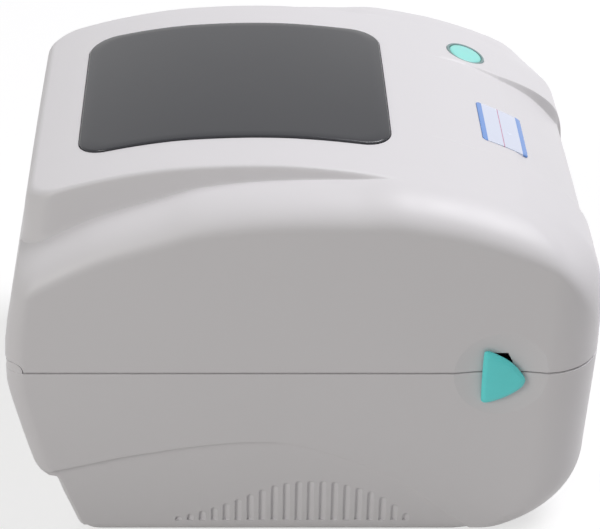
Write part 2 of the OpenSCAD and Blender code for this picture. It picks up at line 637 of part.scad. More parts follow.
// Mechanism
front_plate_y = platen_y - 8;
cheek_outline = [[platen_y + 5, frame_floor], [platen_y + 36, frame_floor], [platen_y + 36, flange_z - 1],
  [platen_y + 10, flange_z - 1], [platen_y + 9, platen_z + 8.2], [front_plate_y, platen_z + 8.2],
  [front_plate_y, frame_floor + 14]];
bushing_r = 5;
module mechanism_frame() {
  color(steel) difference() {
    union() {
      both() along_x(cheek_in, cheek_out) polygon(cheek_outline);
      box([-cheek_in, platen_y + 5, frame_floor], [cheek_in, platen_y + 36, frame_floor + sheet_t]);
      box([-cheek_in, front_plate_y, frame_floor + 14], [cheek_in, front_plate_y + sheet_t, pivot_z - 6]);
    }
    both() rod_x(cheek_in - over, cheek_out + over, bushing_r, platen_y, platen_z);
    both() rod_x(cheek_in - over, cheek_out + over, latch_shaft_r + run_fit, pivot_y, pivot_z);
    rod_x(cheek_in - over, cheek_out + over, motor_boss_r, pinion_c[0], pinion_c[1]);
    rod_x(cheek_in - over, cheek_out + over, idler_pin_r, idler_c[0], idler_c[1]);
    for (p = motor_screw_places) rod_x(cheek_in - over, cheek_out + over, screw_r, p[0], p[1]);
    for (p = frame_foot_places) translate([p[0], p[1], frame_floor - over]) cylinder(r = screw_r, h = sheet_t + 2 * over);
  }
}
module frame_screws() {
  color(steel) for (p = frame_foot_places) translate([p[0], p[1], frame_floor + sheet_t]) mirror([0, 0, 1])
    screw(1.2, 5, 2.8, 1.5);
}
module platen_bushings() {
  color(white) both() difference() {
    union() {
      rod_x(cheek_in - 0.9, cheek_out, bushing_r, platen_y, platen_z);
      rod_x(cheek_in - 2, cheek_in, bushing_r + 1.2, platen_y, platen_z);
    }
    rod_x(cheek_in - 2 - over, cheek_out + over, platen_shaft_d / 2 + run_fit, platen_y, platen_z);
  }
}
motor_boss_r = 11;
idler_pin_r = 2;
motor_shaft_r = 2.5;
motor_screw_places = [for (s = [-1, 1]) pinion_c + s * 0.37 * motor_side * [1, 1]];
module stepper_motor() {
  m = motor_side / 2;
  color("#2B2C2F") difference() {
    union() {
      along_x(cheek_in - motor_l, cheek_in) polygon([for (q = [[-1, -1], [1, -1], [1, 1], [-1, 1]])
        for (e = [[1, 0.82], [0.82, 1]]) let (w = q[0] * q[1] > 0 ? e : [e[1], e[0]])
          [pinion_c[0] + m * q[0] * w[0], pinion_c[1] + m * q[1] * w[1]]]);
      rod_x(cheek_in - over, cheek_out + 0.3, motor_boss_r, pinion_c[0], pinion_c[1]);
    }
    rod_x(cheek_in - motor_l / 2, cheek_out + over, motor_shaft_r + run_fit, pinion_c[0], pinion_c[1]);
    for (p = motor_screw_places) rod_x(cheek_in - 5, cheek_in + over, screw_r, p[0], p[1]);
  }
}
module motor_screws() {
  color(steel) for (p = motor_screw_places) translate([cheek_out + 0.01, p[0], p[1]]) rotate([0, -90, 0]) {
    cylinder(r = screw_r, h = 5);
    translate([0, 0, -1.2]) cylinder(r = 2.4, h = 1.2);
  }
}
module idler_pin() {
  color(steel) {
    rod_x(cheek_in, gear_x + gear_w + 1.2, idler_pin_r, idler_c[0], idler_c[1]);
    rod_x(gear_x + gear_w + 0.3, gear_x + gear_w + 1.2, idler_pin_r + 1.5, idler_c[0], idler_c[1]);
    rod_x(cheek_out, gear_x - 0.3, idler_pin_r + 1.5, idler_c[0], idler_c[1]);
  }
}

// Involute spur gear outline, tooth 0 on the first axis
pressure_angle = 20;
backlash = 0.09;
function inv_deg(a) = tan(a) * 180 / PI - a;
function tooth_half(n, m, r) = let (rp = n * m / 2, rb = rp * cos(pressure_angle))
  90 / n + inv_deg(pressure_angle) - inv_deg(acos(min(1, rb / r))) - backlash * m / rp * 180 / PI;
function gear_points(n, m) = let (rp = n * m / 2, rb = rp * cos(pressure_angle),
  ro = rp + 0.85 * m, ri = rp - 1.25 * m, r0 = max(rb, ri + 0.2 * m),
  rs = [r0, (2 * r0 + ro) / 3, (r0 + 2 * ro) / 3, ro], hs = [for (r = rs) tooth_half(n, m, r)])
  [for (i = [0:n - 1]) let (c = 360 * i / n) each concat([[ri, c - hs[0]]],
    [for (k = [0:3]) [rs[k], c - hs[k]]], [for (k = [3:-1:0]) [rs[k], c + hs[k]]], [[ri, c + hs[0]]])];
module gear_2d(n, m, turn) {
  polygon([for (p = gear_points(n, m)) [p[0] * cos(p[1] + turn), p[0] * sin(p[1] + turn)]]);
}
module drive_gear(n, turn, c, bore, x0, w) {
  difference() {
    along_x(x0, x0 + w) translate(c) gear_2d(n, gear_module, turn);
    rod_x(x0 - over, x0 + w + over, bore, c[0], c[1]);
  }
}
idler_turn = idler_angle + 180 + 180 / idler_teeth;
idler_phase = round((pinion_angle - idler_turn) * idler_teeth / 360);
idler_tooth = idler_turn + idler_phase * 360 / idler_teeth;
pinion_turn = pinion_angle + 180 + 180 / pinion_teeth
  + (pinion_angle - idler_tooth) * idler_teeth / pinion_teeth;
platen_bore = platen_shaft_d / 2;
module platen_shaft() {
  color(steel) rod_x(-cheek_out - 1.5, gear_x + gear_w + 1, platen_shaft_d / 2, platen_y, platen_z);
}
module platen_rubber() {
  color(rubber_black) difference() {
    rod_x(-platen_l / 2, platen_l / 2, platen_d / 2, platen_y, platen_z);
    rod_x(-platen_l / 2 - over, platen_l / 2 + over, platen_bore, platen_y, platen_z);
  }
}
module platen_gear() {
  color(white) drive_gear(platen_teeth, idler_angle, [platen_y, platen_z], platen_bore, gear_x, gear_w);
}
module idler_gear() {
  color(white) drive_gear(idler_teeth, idler_turn, idler_c, idler_pin_r + run_fit, gear_x, gear_w);
}
module motor_pinion() {
  color("#C8A560") along_x(gear_x, gear_x + gear_w) translate(pinion_c)
    gear_2d(pinion_teeth, gear_module, pinion_turn);
  color(steel) rod_x(cheek_in - motor_l / 2 + 1, gear_x + gear_w, motor_shaft_r, pinion_c[0], pinion_c[1]);
}

// Label path between the roll and the platen
sensor_y = platen_y + 43;
sensor_w = 16;
module label_guide() {
  color(dark) difference() {
    union() {
      box([-cheek_in + clear, platen_y + platen_d / 2 + 1, guide_plate_z],
        [cheek_in - clear, tray_front, guide_plate_z + tray_wall]);
      for (i = [-4:4]) box([i * 12.5 - 0.6, platen_y + platen_d / 2 + 1, guide_plate_z + tray_wall],
        [i * 12.5 + 0.6, tray_front, guide_plate_z + tray_wall + 0.5]);
    }
    translate([9, sensor_y, guide_plate_z - over]) cylinder(r = 2, h = tray_wall + 2 * over + 0.5);
  }
}
module gap_sensor() {
  color(rubber_black) box([9 - sensor_w / 2, sensor_y - 5, guide_plate_z - 5.2],
    [9 + sensor_w / 2, sensor_y + 5, guide_plate_z - 0.2]);
}

// Electronics
module main_board() {
  color(pcb_green) difference() {
    box(board_lo, board_hi);
    for (p = stand_places) translate([p[0], p[1], board_z - over]) cylinder(r = screw_r, h = board_t + 2 * over);
  }
}
board_top = board_z + board_t;
module board_parts() {
  color("#1E1F22") {
    box([-20, -20, board_top], [-4, -4, board_top + 1.4]);
    box([8, -24, board_top], [20, -14, board_top + 1.4]);
    box([-34, 34, board_top], [-24, 48, board_top + 1.4]);
  }
  color("#2A3A66") for (i = [0:2]) translate([-54 + 11 * i, fy + 76, board_top]) cylinder(r = 4, h = 12);
  color(white) {
    box([26, fy + 66, board_top], [46, fy + 72, board_top + 8]);
    box([-12, fy + 66, board_top], [14, fy + 72, board_top + 8]);
  }
  color(dark) translate([30, fy + 86, board_top]) cylinder(r = 6, h = 4.5);
}
module board_screws() {
  color(steel) for (p = stand_places) translate([p[0], p[1], board_top]) mirror([0, 0, 1]) screw(1.2, 5, 2.6, 1.4);
}
plate_y = bay_floor;
socket_out = plate_y + 1.8;
socket_z = board_top;
usb_lo = [42, bay_floor - 13, socket_z];
usb_hi = [54, socket_out, socket_z + 10.9];
jack_lo = [60, bay_floor - 11, socket_z];
jack_hi = [69, socket_out, socket_z + 11];
jack_c = [(jack_lo[0] + jack_hi[0]) / 2, socket_z + 6.2];
switch_c = [24, bay_floor - 1];
switch_z = [board_top + 0.2, board_top + 11.2];
switch_half = 10.4;
module connector_plate() {
  g = clear;
  color(steel) difference() {
    box([bay_lo[0] + bay_wall + g, plate_y, bay_lo[2] + bay_wall + g],
      [bay_hi[0] - bay_wall - g, plate_y + 0.8, bay_hi[2] - bay_wall - g]);
    box([usb_lo[0] - g, plate_y - over, usb_lo[2] - g], [usb_hi[0] + g, plate_y + 2, usb_hi[2] + g]);
    box([jack_lo[0] - g, plate_y - over, jack_lo[2] - g], [jack_hi[0] + g, plate_y + 2, jack_hi[2] + g]);
    box([switch_c[0] - switch_half, plate_y - over, switch_z[0]], [switch_c[0] + switch_half, plate_y + 2, switch_z[1]]);
  }
}
module power_inlet() {
  color(rubber_black) difference() {
    box(jack_lo, jack_hi);
    translate([jack_c[0], socket_out + over, jack_c[1]]) rotate([90, 0, 0]) cylinder(r = 3.2, h = 9 + over);
  }
  color(steel) translate([jack_c[0], socket_out - 1, jack_c[1]]) rotate([90, 0, 0]) cylinder(r = 1, h = 9);
}
module usb_socket() {
  color(steel) difference() {
    box(usb_lo, usb_hi);
    box(usb_lo + [1.6, 4, 1.5], [usb_hi[0] - 1.6, usb_hi[1] + over, usb_hi[2] - 1.5]);
  }
  color(white) box(usb_lo + [3.2, 3, 4], [usb_hi[0] - 3.2, usb_hi[1] - 1, usb_hi[2] - 3.6]);
}
rocker_half = 8.2;
rocker_pin_r = 1;
rocker_tilt = 8;
module switch_housing() {
  h = rocker_half + 0.9;
  color(rubber_black) difference() {
    union() {
      box([switch_c[0] - switch_half, switch_c[1] - 10, switch_z[0]], [switch_c[0] + switch_half, plate_y + 0.8, switch_z[1]]);
      box([switch_c[0] - switch_half - 1, plate_y + 0.8, switch_z[0] - 1], [switch_c[0] + switch_half + 1, plate_y + 2, switch_z[1] + 1]);
    }
    box([switch_c[0] - h, switch_c[1] - 2.9, switch_z[0] + 1], [switch_c[0] + h, plate_y + 2 + over, switch_z[1] - 1]);
  }
  color(steel) translate([switch_c[0], switch_c[1], switch_z[0] + 1]) cylinder(r = rocker_pin_r, h = switch_z[1] - switch_z[0] - 2);
}
module power_rocker() {
  z0 = switch_z[0] + 1 + clear;
  z1 = switch_z[1] - 1 - clear;
  color("#202124") translate([switch_c[0], switch_c[1], z0]) rotate([0, 0, -rocker_tilt]) difference() {
    linear_extrude(z1 - z0) polygon([[-rocker_half, -1.2], [rocker_half, -1.2], [rocker_half, 4.6],
      [0, 3.4], [-rocker_half, 4.6]]);
    translate([0, 0, -over]) cylinder(r = rocker_pin_r + run_fit, h = z1 - z0 + 2 * over);
  }
}
module hinge_pins() {
  color(steel) both() rod_x(base_lugs[0][0] - 1, base_lugs[1][1] + 1, hinge_pin_d / 2, hinge_y, hinge_z);
}

/* Latch */
module latch_springs() {
  color(steel) both() difference() {
    rod_x(cheek_in - 12, cheek_in - 3, latch_shaft_r + 1.8, pivot_y, pivot_z);
    rod_x(cheek_in - 13, cheek_in - 2, latch_shaft_r + 0.5, pivot_y, pivot_z);
  }
}
hook_in = hook_out - hook_w;
beak_z = striker_z + striker_r + clear;
beak_y = striker_y - striker_r - clear;
hook_t = 2.8;
hook_back = beak_y - 2.2;
module latch_bar() {
  color(dark) {
    rod_x(-hook_out, hook_out, latch_shaft_r, pivot_y, pivot_z);
    both() {
      rod_x(hook_in, hook_out, latch_shaft_r + 3, pivot_y, pivot_z);
      along_x(hook_in, hook_out) polygon([[pivot_y - 5, pivot_z], [pivot_y + 2, pivot_z],
        [hook_back, pivot_z + 9], [hook_back, beak_z], [beak_y, beak_z], [beak_y, beak_z + 0.8],
        [hook_back, beak_z + 3.2], [hook_back - hook_t, beak_z + 3.2], [hook_back - hook_t, pivot_z + 9]]);
    }
  }
}
// Outline of a lever's cap: a rounded triangle with its point to the front
lever_shares = [[0, -0.44], [-0.04, -0.485], [-0.12, -0.5], [-0.3, -0.465], [-0.49, -0.41],
  [-0.68, -0.337], [-0.87, -0.235], [-0.96, -0.157], [-1, -0.06], [-0.97, 0], [-0.84, 0.137],
  [-0.68, 0.265], [-0.49, 0.365], [-0.3, 0.44], [-0.12, 0.5], [-0.04, 0.49], [0, 0.45]];
lever_x = hw - 0.22 * dish_depth;
stem_front = pivot_y - 5;
stem_back = pivot_y - 1.5;
module lever(side) {
  color(teal) mirror([side < 0 ? 1 : 0, 0, 0]) {
    along_x(lever_x, lever_x + 0.45 * lever_t) lever_outline(1);
    hull() {
      along_x(lever_x + 0.45 * lever_t, lever_x + 0.75 * lever_t) lever_outline(0.99);
      along_x(lever_x + 0.75 * lever_t, lever_x + lever_t) lever_outline(0.8);
    }
    box([hook_out, stem_front, part_z - 8], [lever_x, stem_back, part_z + 3]);
  }
}
module lever_outline(k) {
  c = [lever_rear - 0.42 * lever_l, lever_mid_z];
  polygon([for (p = lever_shares) c + k * ([lever_rear + p[0] * lever_l, lever_mid_z + p[1] * lever_h] - c)]);
}
module lever_left() { lever(-1); }
module lever_right() { lever(1); }

/* Roll guides */
function rack_points(x0, x1, m) = let (p = PI * m, n0 = ceil(x0 / p - 0.5) + 1, n1 = floor(x1 / p - 0.5) - 1,
  hb = p / 4 + 1.1 * m * tan(pressure_angle) - backlash, ht = p / 4 - 0.85 * m * tan(pressure_angle) - backlash)
  concat([[x0, -1.1 * m]], [for (k = [n0:n1]) let (c = (k + 0.5) * p)
    each [[c - hb, -1.1 * m], [c - ht, 0.85 * m], [c + ht, 0.85 * m], [c + hb, -1.1 * m]]], [[x1, -1.1 * m]]);
guide_top_r = 22;
module guide_body() {
  x0 = -rest_half - guide_t;
  color(white) {
    difference() {
      union() {
        intersection() {
          rod_x(x0, -rest_half, trough_r - clear, roll_y, roll_z);
          union() {
            box([x0 - over, roll_y - guide_top_r, roll_z - trough_r], [-rest_half + over, roll_y + guide_top_r, roll_z]);
            rod_x(x0 - over, -rest_half + over, guide_top_r, roll_y, roll_z);
          }
        }
        rod_x(-rest_half, -rest_half + 7, hub_d / 2, roll_y, roll_z);
      }
      rod_x(x0 - over, -rest_half + 7 + over, hub_d / 2 - 3, roll_y, roll_z);
    }
    box([x0, roll_y - leg_c - leg_w / 2, rack_z], [-rest_half, roll_y - leg_c + leg_w / 2, roll_z - trough_r + 3]);
    translate([0, roll_y - pinion_pitch_r, rack_z]) linear_extrude(rack_t)
      polygon(concat(rack_points(x0, 11, rack_module), [[11, -rack_back], [x0, -rack_back]]));
  }
}
module roll_guide_left() { guide_body(); }
module roll_guide_right() { translate([0, roll_y, 0]) rotate([0, 0, 180]) translate([0, -roll_y, 0]) guide_body(); }
module guide_pinion() {
  color(white) translate([0, roll_y, rack_z]) difference() {
    linear_extrude(rack_t) gear_2d(rack_pinion_teeth, rack_module, 90);
    translate([0, 0, -over]) cylinder(r = pinion_pin_r + run_fit, h = rack_t + 2 * over);
  }
}

/* Cover */
window_c = [0, ry - 84.4 * body_l / 220];
pocket_under = window_t - window_proud;
aperture = 6;
slot_half = platen_l / 2 + 2.5;
exit_top = rail_z + 0.8;
badge_c = [-11.5, fy + 33.7];
badge_sink = 0.5;
badge_cell = 4;
window_cell = 14;
button_tilt = atan((top(button_x, button_y + 3) - top(button_x, button_y - 3)) / 6);
button_z = top(button_x, button_y);
cover_boss_places = [for (y = [along_y(0.42), along_y(0.86)]) [hw - 12.5, y]];
module at_button() { translate([button_x, button_y, button_z]) rotate([button_tilt, 0, 0]) children(); }
button_boss_h = 12;
module top_cover() {
  color(ivory) resize([0, 0, 0]) difference() {
    union() {
      difference() {
        cover_solid(cover_levels, 0);
        cover_solid(inner_levels, shell_wall);
      }
      intersection() {
        cover_solid(inner_levels, shell_wall / 2);
        union() {
          both() for (p = cover_boss_places) translate([p[0], p[1], rail_z + rail_t]) cylinder(r = boss_r, h = cover_rise, $fn = 20);
          at_button() translate([0, 0, -button_boss_h]) cylinder(r = ring_d / 2 + 2, h = button_boss_h, $fn = 32);
        }
      }
    }
    both() for (p = cover_boss_places) translate([p[0], p[1], rail_z]) cylinder(r = screw_r + clear, h = 14, $fn = 16);
    rod_x(-hw - over, hw + over, barrel_r + notch_gap, hinge_y, hinge_z);
    along_x(-hw - over, hw + over) polygon([[hinge_y, part_z - over], [hinge_y, part_z + notch_up],
      [ry + over, part_z + notch_up], [ry + over, part_z - over]]);
    both() along_x(lug_bay[0], lug_bay[1]) polygon([[ry - notch_l, part_z - over], [hinge_y - 2, part_z + notch_up],
      [ry + over, part_z + notch_up], [ry + over, part_z - over]]);
    patch(window_w + 2 * clear, window_l + 2 * clear, window_r + clear, window_c, -pocket_under - 0.1, 4, window_cell);
    patch(window_w - 2 * aperture, window_l - 2 * aperture, window_r - aperture / 2, window_c, -12, 2, window_cell);
    patch(badge_w + clear, badge_l + clear, 1.5, badge_c, -badge_sink, 4, badge_cell, 1);
    at_button() translate([0, 0, -button_boss_h - over]) cylinder(r = ring_d / 2 + clear / 2, h = button_boss_h + 4, $fn = 48);
    lever_dish();
    lever_slot();
    box([-slot_half, fy - over, part_z - over], [slot_half, fy + 8, exit_top]);
  }
}
module window() {
  color("#55565C") resize([0, 0, 0]) patch(window_w, window_l, window_r, window_c, -pocket_under, window_proud, window_cell);
}
module badge() {
  color("#DCE8FA") resize([0, 0, 0]) patch(badge_w, badge_l, 1.5, badge_c, -badge_sink + 0.1, badge_t - badge_sink, badge_cell, 1);
}
ring_wall = (ring_d - button_d) / 2 - clear / 2;
module button_ring() {
  color("#6E8C8C") at_button() difference() {
    translate([0, 0, -7]) cylinder(r = ring_d / 2, h = 7.2);
    translate([0, 0, -7 - over]) cylinder(r = ring_d / 2 - ring_wall, h = 9 + over);
  }
}
button_stem_r = 3;
module feed_button() {
  color("#9DF2E6") at_button() {
    translate([0, 0, -6]) cylinder(r = button_d / 2, h = 6.4);
    translate([0, 0, -9]) cylinder(r = button_stem_r, h = 3);
  }
}
module button_board() {
  color(pcb_green) at_button() {
    translate([-9, -9, -button_boss_h - 1.8]) cube([18, 18, 1.6]);
    translate([-3, -3, -button_boss_h - 0.2]) cube([6, 6, button_boss_h - 9 - button_travel]);
  }
}
ear_w = 2.2;
ear_xs = [hook_in - clear - 0.9 - ear_w, hook_out + 1];
module cover_frame() {
  ear = [[striker_y - 3.2, rail_z], [striker_y + 3.2, rail_z], [striker_y + 3.2, striker_z - 1.5],
    [striker_y, striker_z - 3.4], [striker_y - 3.2, striker_z - 1.5]];
  color(dark) difference() {
    union() {
      both() {
        box([rail_in, platen_y + 2, rail_z], [rail_out, ry - 13, rail_z + rail_t]);
        box([rail_in - rail_t, platen_y - 11.5, rail_z], [rail_in, platen_y + 35, deck_z + rail_t]);
        for (x = ear_xs) along_x(x, x + ear_w) polygon(ear);
        lug(lug_x, lug_x + cover_lug_w, [[hinge_y - 9.5, rail_z + rail_t], [hinge_y - 9.5, rail_z], [hinge_y - 6, hinge_z + 1],
          [hinge_y, hinge_z], [hinge_y, hinge_z + lug_r], [hinge_y - 0.7, hinge_z + lug_r], [hinge_y - 2, rail_z + rail_t]]);
      }
      box([-rail_in, platen_y - 11.5, exit_top + 0.2], [rail_in, platen_y - 9.2, deck_z + rail_t]);
      box([-rail_in, platen_y - 11.5, deck_z], [rail_in, platen_y + 35, deck_z + rail_t]);
      box([-rail_in, platen_y + 37, rail_z], [rail_in, platen_y + 49, rail_z + rail_t]);
      box([-rail_in, ry - 19, rail_z], [rail_in, ry - 13, rail_z + rail_t]);
    }
    both() rod_x(rail_in - rail_t - over, rail_in + over, head_pin_r, head_pivot_y, head_pivot_z);
    both() rod_x(lug_x - over, lug_x + cover_lug_w + over, hinge_pin_d / 2 + run_fit, hinge_y, hinge_z);
    both() rod_x(ear_xs[0] - over, ear_xs[1] + ear_w + over, striker_r, striker_y, striker_z);
    both() for (p = cover_boss_places) translate([p[0], p[1], rail_z - over]) cylinder(r = screw_r + clear, h = rail_t + 2 * over);
  }
}
module cover_screws() {
  color(steel) both() for (p = cover_boss_places) translate([p[0], p[1], rail_z]) screw(screw_r, 12, 2.8, 1.6);
}
module striker_pins() {
  color(steel) both() rod_x(ear_xs[0], ear_xs[1] + ear_w, striker_r, striker_y, striker_z);
}
tooth_pitch = 2;
module tear_bar() {
  n = floor((slot_half - 1) / tooth_pitch);
  y0 = fy + 1.6;
  color(steel) translate([0, 0, exit_top - 0.1]) mirror([0, 0, 1]) linear_extrude(0.8)
    polygon(concat([[-n * tooth_pitch, platen_y - 9.4]],
      [for (i = [-n:n - 1]) each [[i * tooth_pitch, y0], [(i + 0.5) * tooth_pitch, y0 - 1]]],
      [[n * tooth_pitch, y0], [n * tooth_pitch, platen_y - 9.4]]));
}
module upper_sensor() {
  color(rubber_black) box([9 - sensor_w / 2, sensor_y - 5, rail_z - 3.6], [9 + sensor_w / 2, sensor_y + 4, rail_z]);
}
module head_pivot_pin() {
  color(steel) rod_x(-rail_in, rail_in, head_pin_r, head_pivot_y, head_pivot_z);
}
bracket_z = head_z + 5.6;
spring_r = 3;
spring_places = [[-36, platen_y], [36, platen_y]];
module head_springs() {
  color(steel) for (p = spring_places) translate([p[0], p[1], bracket_z + sheet_t]) difference() {
    cylinder(r = spring_r, h = deck_z - bracket_z - sheet_t);
    translate([0, 0, -over]) cylinder(r = spring_r - 0.6, h = deck_z - bracket_z);
  }
}
module head_bracket() {
  hwid = head_w / 2;
  color(steel) difference() {
    union() {
      box([-hwid, platen_y - 7, bracket_z], [hwid, head_pivot_y + 5, bracket_z + sheet_t]);
      both() {
        rod_x(hwid - sheet_t, hwid, 5, head_pivot_y, head_pivot_z);
        box([hwid - sheet_t, head_pivot_y - 5, bracket_z], [hwid, head_pivot_y + 5, head_pivot_z]);
      }
    }
    both() rod_x(hwid - sheet_t - over, hwid + over, head_pin_r + run_fit, head_pivot_y, head_pivot_z);
  }
}
module head_heatsink() {
  color("#C9CCD0") box([-head_w / 2 + 1, platen_y - 7, head_z + 1], [head_w / 2 - 1, platen_y + 9, bracket_z]);
}
module head_ceramic() {
  color("#E9E4D8") box([-head_w / 2 + 1, platen_y - 7, head_z], [head_w / 2 - 1, platen_y + 5, head_z + 1]);
}

base_shell();
bottom_plate();
rubber_feet();
bottom_screws();
media_tray();
tray_screws();
mechanism_frame();
frame_screws();
platen_bushings();
stepper_motor();
motor_screws();
idler_pin();
label_guide();
gap_sensor();
main_board();
board_parts();
board_screws();
connector_plate();
power_inlet();
usb_socket();
switch_housing();
hinge_pins();
latch_springs();
platen_shaft();
platen_rubber();
platen_gear();
idler_gear();
motor_pinion();
latch_bar();
lever_left();
lever_right();
roll_guide_left();
roll_guide_right();
guide_pinion();
power_rocker();
top_cover();
window();
badge();
button_ring();
button_board();
cover_frame();
cover_screws();
striker_pins();
tear_bar();
upper_sensor();
head_pivot_pin();
head_springs();
feed_button();
head_bracket();
head_heatsink();
head_ceramic();
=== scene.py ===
"""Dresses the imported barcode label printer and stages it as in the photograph."""
import logging
import math
from dataclasses import dataclass
from enum import Enum
from functools import cache
from typing import Callable, Iterable, Sequence

import bpy
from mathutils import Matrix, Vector


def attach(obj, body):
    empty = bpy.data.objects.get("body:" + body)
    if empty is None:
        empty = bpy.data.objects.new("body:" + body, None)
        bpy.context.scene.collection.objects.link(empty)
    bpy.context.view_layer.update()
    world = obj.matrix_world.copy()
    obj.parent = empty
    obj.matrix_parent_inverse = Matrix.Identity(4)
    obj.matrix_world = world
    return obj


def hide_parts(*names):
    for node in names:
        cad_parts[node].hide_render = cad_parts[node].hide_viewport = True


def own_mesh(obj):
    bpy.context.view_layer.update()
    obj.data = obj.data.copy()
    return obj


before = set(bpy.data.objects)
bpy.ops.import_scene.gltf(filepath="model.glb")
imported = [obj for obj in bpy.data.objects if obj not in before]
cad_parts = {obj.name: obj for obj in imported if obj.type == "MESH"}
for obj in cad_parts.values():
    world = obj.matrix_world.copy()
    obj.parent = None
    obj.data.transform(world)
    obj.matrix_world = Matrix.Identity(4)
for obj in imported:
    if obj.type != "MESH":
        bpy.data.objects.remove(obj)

LOG = logging.getLogger("label_printer")
MM = 0.001
SIDES = (-1, 1)
# Nearly all of a noise lies between these values
NOISE_SPAN = (0.3, 0.7)
Flat = tuple[float, float]
Point = tuple[float, float, float]
Table = Sequence[Flat]
Box = tuple[Point, Point]
Piece = bpy.types.Object
Tree = bpy.types.NodeTree
Socket = bpy.types.NodeSocket
Inputs = dict[str | int, object]


# Numbers and curves

def clamp(value: float, low: float = 0.0, high: float = 1.0) -> float:
    """Keeps a value between two limits."""
    return max(low, min(high, value))


def ease(share: float) -> float:
    """Turns a share into one that starts and ends level."""
    k = clamp(share)
    return k * k * (3 - 2 * k)


def curve(table: Table, place: float) -> float:
    """Reads a smooth curve through a table.

    Args:
        table: Rows of place and value, in rising order of place.
        place: Where the curve is read.

    Returns:
        The value there, level with the end rows outside the table.
    """
    last = len(table) - 1
    i = 0
    while i < last - 1 and place >= table[i + 1][0]:
        i += 1

    def rate(k: int) -> float:
        """Gives the slope at a row."""
        a, b = table[max(k - 1, 0)], table[min(k + 1, last)]
        return (b[1] - a[1]) / (b[0] - a[0])

    width = table[i + 1][0] - table[i][0]
    u = clamp((place - table[i][0]) / width)
    return (table[i][1] * (1 + 2 * u) * (1 - u) ** 2 + rate(i) * width * u * (1 - u) ** 2
            + table[i + 1][1] * u * u * (3 - 2 * u) - rate(i + 1) * width * u * u * (1 - u))


def straight(table: Table, place: float) -> float:
    """Reads a table with straight lines between its rows.

    Args:
        table: Rows of place and value, in rising order of place.
        place: Where the table is read.

    Returns:
        The value there.
    """
    for (x0, y0), (x1, y1) in zip(table, table[1:]):
        if place <= x1:
            return y0 + (y1 - y0) * clamp((place - x0) / (x1 - x0))
    return table[-1][1]


def evenly(*values: float) -> Table:
    """Makes a table of values at even places from 0 to 1."""
    return tuple((k / (len(values) - 1), value) for k, value in enumerate(values))


def steps_between(stops: Sequence[float], step: float) -> list[float]:
    """Divides the spans between stops.

    Args:
        stops: The stops, in rising order.
        step: The longest step allowed.

    Returns:
        All the values, the stops included.
    """
    values = [stops[0]]
    for a, b in zip(stops, stops[1:]):
        n = max(1, math.ceil((b - a) / step - 1e-9))
        values += [a + (b - a) * k / n for k in range(1, n + 1)]
    return values


# Colour and shader nodes

def colour(code: str) -> tuple[float, float, float, float]:
    """Turns an sRGB hex code into the linear colour that a socket takes.

    Args:
        code: Six hex digits after a hash.

    Returns:
        Red, green, blue and an alpha of 1.
    """
    parts = [int(code[i:i + 2], 16) / 255 for i in (1, 3, 5)]
    linear = [c / 12.92 if c <= 0.04045 else ((c + 0.055) / 1.055) ** 2.4 for c in parts]
    return linear[0], linear[1], linear[2], 1.0


def feed(tree: Tree, node: bpy.types.Node, inputs: Inputs) -> None:
    """Sets or links what a shader node reads.

    Args:
        tree: The node tree.
        node: The node.
        inputs: Socket name or number to a value, or to an output socket to link.
    """
    for name, value in inputs.items():
        if isinstance(value, Socket):
            tree.links.new(value, node.inputs[name])
        else:
            node.inputs[name].default_value = value


def add_node(tree: Tree, kind: str, inputs: Inputs | None = None, **settings: object) -> bpy.types.Node:
    """Adds a shader node, sets it and links what it reads.

    Args:
        tree: The node tree.
        kind: The node's type name after "ShaderNode".
        inputs: What it reads, as feed takes it.
        settings: Attributes of the node.

    Returns:
        The new node.
    """
    node = tree.nodes.new("ShaderNode" + kind)
    for name, value in settings.items():
        setattr(node, name, value)
    feed(tree, node, inputs or {})
    return node


class Run(Enum):
    """The way a surface pattern runs, as the scale along X, Y and Z."""

    EVEN = (1.0, 1.0, 1.0)
    ALONG_X = (0.04, 1.0, 1.0)
    ALONG_Z = (1.0, 1.0, 0.04)


